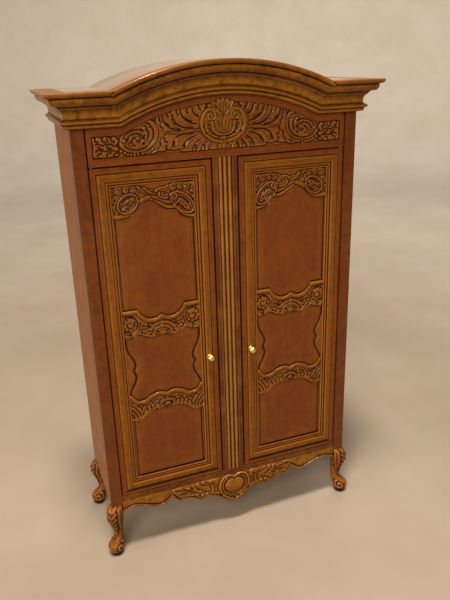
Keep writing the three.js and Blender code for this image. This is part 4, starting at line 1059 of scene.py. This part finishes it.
def lower_relief(u, z):
    """A smooth rim over an eye, with leaves beside it and scrolled leaves in the corners."""
    r = Relief(np.abs(u), z, 0.0)
    r.mass(np.vstack([LOW_TOP, LOW_LOW[::-1]]), 0.5, 0.3, 0.05)
    r.stem(LOW_TOP + [0, -0.95], 1.7, 0.28, 0.4)
    r.cut(ellipse(0, 47, 4.3, 3.1, 0, 0, 90, 16), 0.5, 0.35, 0.22)
    r.stem(ellipse(0, 47, 3.1, 1.9, 0, -90, 180, 20), 0.7, 0.3, 0.4)
    r.dome(0, 47.1, 1.3, 0.9, 0, 0.35, 0.4)
    r.cuts("""2.6,46.2 1.6,47 2.2,47.8; 0,44.9 1,45.6 2.2,45.2; 4.2,50 6,49.4 7.4,47.8; 4.6,48.6 5.9,47.6
        5.6,46; 6.4,48.8 7.8,47 7,45.4; 8,48.9 9.6,47 9.2,44.8; 9.8,49 10.7,47.8 11.8,48.8 14,49; 10.4,46.6
        11.2,44.8 11.4,43; 16.8,49.4 15.2,48.2 13.8,46.2 12.7,44.2 12.3,42.4; 16.8,47.4 15.5,46 14.3,44.2
        13.6,42; 16.8,45 15.9,43.8 15.2,42; 14,48.6 12.5,47.5 11.5,45.8""", 0.5, 0.5, 0.2)
    r.pits("16,50.2 11.6,47.4 16.3,43 13,41.7 2,47 9.4,46 5.2,45.5 7.4,49.4 3.4,49.4")
    return r.finished()


def add_door_carvings(side, s):
    """Three bands of carving, each over a grid between its two edges that is symmetrical about the door's middle."""
    reach, spacing = DOOR_HALF - BAR - 2 * SEAM, 0.17
    line = np.linspace(-reach, reach, int(2 * reach / spacing))
    top = np.full(line.shape, PANEL_TOP - FOOT_Z)
    bands = (("crest", height_on(CREST_LOW, line), top, crest_relief),
             ("middle", height_on(MID_LOW, line), height_on(MID_TOP, line), middle_relief),
             ("lower", height_on(LOW_LOW, line), height_on(LOW_TOP, line), lower_relief))
    for key, low, high, relief in bands:
        count = int((high - low).max() / spacing)
        u = np.repeat(line[:, None], count, 1)
        z = low[:, None] + (high - low)[:, None] * np.linspace(0, 1, count)
        x, z, h, shade = (grid[::-s] for grid in (s * (DOOR_X - u), z + FOOT_Z, *relief(u, z)))
        slab_piece(f"door_{key}_{side}", f"door_{side}_{key}_carving", "carved", x, z, h, FACE_Y + 1.05,
                   FACE_Y + PANEL_GROUND - 0.03, shade)


def add_door_bars(side, s):
    """Four moulded bars, mitred at the door's corners."""
    u, d = BAR_LINE.T
    y = FACE_Y + d
    z0, z1 = DOOR_Z, DOOR_Z + DOOR_HEIGHT
    inset = u + 0.03

    def stile(hand):
        x = s * DOOR_X + hand * (DOOR_HALF - u)
        return [np.column_stack([x, y, z]) for z in (z0 + inset, z1 - inset)]

    def rail(z, up):
        ends = (inset - DOOR_HALF, DOOR_HALF - inset)
        return [np.column_stack([s * DOOR_X + end, y, z + up * u]) for end in ends]

    # Painted shadow for the bottom rail: a dark band at the foot of the gold band and a darker inner bead, where light
    # from above leaves shade.
    painted_shadow = np.exp(-((u - 2.2) / 0.8) ** 4) + np.interp(u, [5.3, 5.6, 6.6, 7], [0, 0.3, 0.3, 0.6])
    # Each row is a bar, its rings and finish, how much of its hollows' darkness it keeps, the painted shade at its
    # outer edge gap, and how much painted shadow it takes. The darkness kept is painted shade by side: bars on the
    # right of each door keep more, as the light comes from the left.
    bars = (("hinge_stile", stile(s), "upright", 0.7 + 0.3 * s, 1.0, 0.0),
            ("lock_stile", stile(-s), "upright", 0.7 - 0.3 * s, 1.0, 0.0),
            ("top_rail", rail(z1, -1), "level", 0.6, 1.0, 0.0),
            ("bottom_rail", rail(z0, 1), "level", 0.3, 0.2, 1.0))
    for key, rings, finish, glaze_and_shade, rim, foot in bars:
        ink = rim * np.exp(-(u / 0.4) ** 2) + foot * painted_shadow
        sweep_piece(f"door_{key}_{side}", f"door_{side}_{key}", finish, rings, BAR_LINE, BAR_TINT, glaze_and_shade, ink)


KNOB_PROFILE = moulding(points("""2.2,0.38,0 0,0.38,0 0,1.1,0 -0.15,1.15,-0.2 -0.5,1.0,0 -0.55,0.7,0.1
    -1.1,0.6,-0.05 -1.5,1.1,-0.24 -3.0,1.25,-0.2 -3.4,0.3,0 -3.4,0.02,0"""))


def middle_of(node):
    """A CAD node's centre, and how far it reaches from there along each axis."""
    low, high = limits(node)
    return (low + high) / 2, (high - low) / 2


def add_doors():
    for side, s in SIDES:
        add_door_panel(side, s)
        add_door_bars(side, s)
        add_door_carvings(side, s)
        (x, _, z), _ = middle_of(f"door_{side}_knob")
        turned_piece(f"knob_{side}", f"door_{side}_knob", "brass", KNOB_PROFILE, (x, FACE_Y, z), "Y")


# ---- Inside fittings ----
def add_rail():
    """A hanging rail between two cups."""
    centre, (half, _, r) = middle_of("hanging_rail")
    ease = 0.15
    profile = [(-half, r - ease), (ease - half, r), (half - ease, r), (half, r - ease)]
    turned_piece("garment_rail", "hanging_rail", "inside_level", profile, centre, "X")
    for side, s in SIDES:
        centre, (half, _, r) = middle_of(f"rail_socket_{side}")
        profile = [(s * half, r), (-s * half * 0.4, r), (-s * half * 0.8, r * 0.8), (-s * half, r * 0.6)]
        turned_piece(f"rail_cup_{side}", f"rail_socket_{side}", "inside", profile, centre, "X")


# ---- Stage ----
def add_stage():
    """A pale floor that turns up into a wide pale wall. Only the camera and gloss see the wall."""
    s = Shader("stage")
    cloud = s.spread(s.noise([14] * 3, 4, 0.6), 0.3, 0.7)
    split = s.node("SeparateXYZ")
    s.put(split.inputs[0], s.node("TexCoord").outputs["Object"])
    x2, y2 = (s.math("POWER", split.outputs[k], 2.0) for k in (0, 1))
    far = s.spread(s.math("SQRT", s.math("ADD", x2, y2)), 0.25, 0.95)
    near = s.mix(cloud, rgb("897967"), rgb("928371"))
    wall = s.mix(cloud, rgb("d6c8b4"), rgb("e0d4c2"))
    s.fill(s.surface, Base_Color=s.mix(far, near, wall), Roughness=0.75)
    sides = 96
    turn = np.linspace(0, 2 * math.pi, sides, endpoint=False)
    bend = [(900 + 400 * math.sin(a), 400 - 400 * math.cos(a)) for a in np.radians(np.linspace(0, 90, 24))]
    for name, profile in (("floor", [(1, 0), (300, 0), (600, 0), (900, 0)]), ("backdrop", bend + [(1300, 1600)])):
        places = [(r * math.cos(t), r * math.sin(t), z) for r, z in profile for t in turn]
        faces = ring_faces(len(profile), sides)
        if name == "floor":
            faces.append(list(range(sides)))
        mesh = bpy.data.meshes.new(name)
        mesh.from_pydata((np.array(places) * MM).tolist(), [], faces)
        mesh.shade_smooth()
        mesh.materials.append(s.material)
        stand = bpy.data.objects.new(name, mesh)
        bpy.context.scene.collection.objects.link(stand)
        stand.visible_shadow = stand.visible_diffuse = name == "floor"


def add_light(name, place, size, power, colour, target=(0, 0, 100), spread=180, glossy=True):
    light = bpy.data.lights.new(name, "AREA")
    light.energy, light.size, light.color = power, size * MM, colour
    light.spread = math.radians(spread)
    lamp = bpy.data.objects.new(name, light)
    lamp.location = Vector(place) * MM
    lamp.visible_glossy = glossy
    lamp.rotation_euler = (Vector(target) - Vector(place)).to_track_quat("-Z", "Y").to_euler()
    bpy.context.scene.collection.objects.link(lamp)


def add_lights():
    add_light("top_light", (-70, -170, 1000), 150, 13.3, (1, 0.94, 0.86))
    add_light("front_light", (-370, -640, 540), 380, 7.0, (1, 0.89, 0.76))
    add_light("side_light", (-800, -60, 260), 300, 0.5, (1, 0.9, 0.76), (0, 0, 90), 60)
    add_light("wall_light", (450, 850, 900), 700, 3.0, (1, 0.97, 0.93), (650, 1250, 100), glossy=False)
    add_light("back_light", (500, 560, 620), 500, 1.1, (1, 0.95, 0.88), (0, 0, 110), 110, False)
    world = bpy.data.worlds.new("studio")
    world.use_nodes = True
    sky = world.node_tree.nodes["Background"].inputs
    sky["Color"].default_value = (1, 0.75, 0.55, 1)
    sky["Strength"].default_value = 0.025
    bpy.context.scene.world = world
    bpy.context.scene.view_settings.view_transform = "Standard"


CAMERA_PLACE = Vector((-91.2, -258.3, 215.6))
CAMERA_FORWARD, CAMERA_UP = Vector((0.32549, 0.87554, -0.35706)), Vector((0.15368, 0.32362, 0.93362))


def add_camera():
    lens = bpy.data.cameras.new("camera")
    lens.lens = 37.98
    lens.clip_start = 0.01
    right = CAMERA_FORWARD.cross(CAMERA_UP).normalized()
    turn = Matrix((right, right.cross(CAMERA_FORWARD), -CAMERA_FORWARD)).transposed().to_4x4()
    camera = bpy.data.objects.new("camera", lens)
    camera.matrix_world = Matrix.Translation(CAMERA_PLACE * MM) @ turn
    bpy.context.scene.collection.objects.link(camera)
    bpy.context.scene.camera = camera


finish_cad_nodes()
add_cornice()
add_frieze_board()
add_frieze_carvings()
add_frieze_heart()
add_pilaster()
add_apron()
add_apron_carvings()
add_apron_heart()
add_legs()
add_doors()
add_rail()
add_stage()
add_lights()
add_camera()
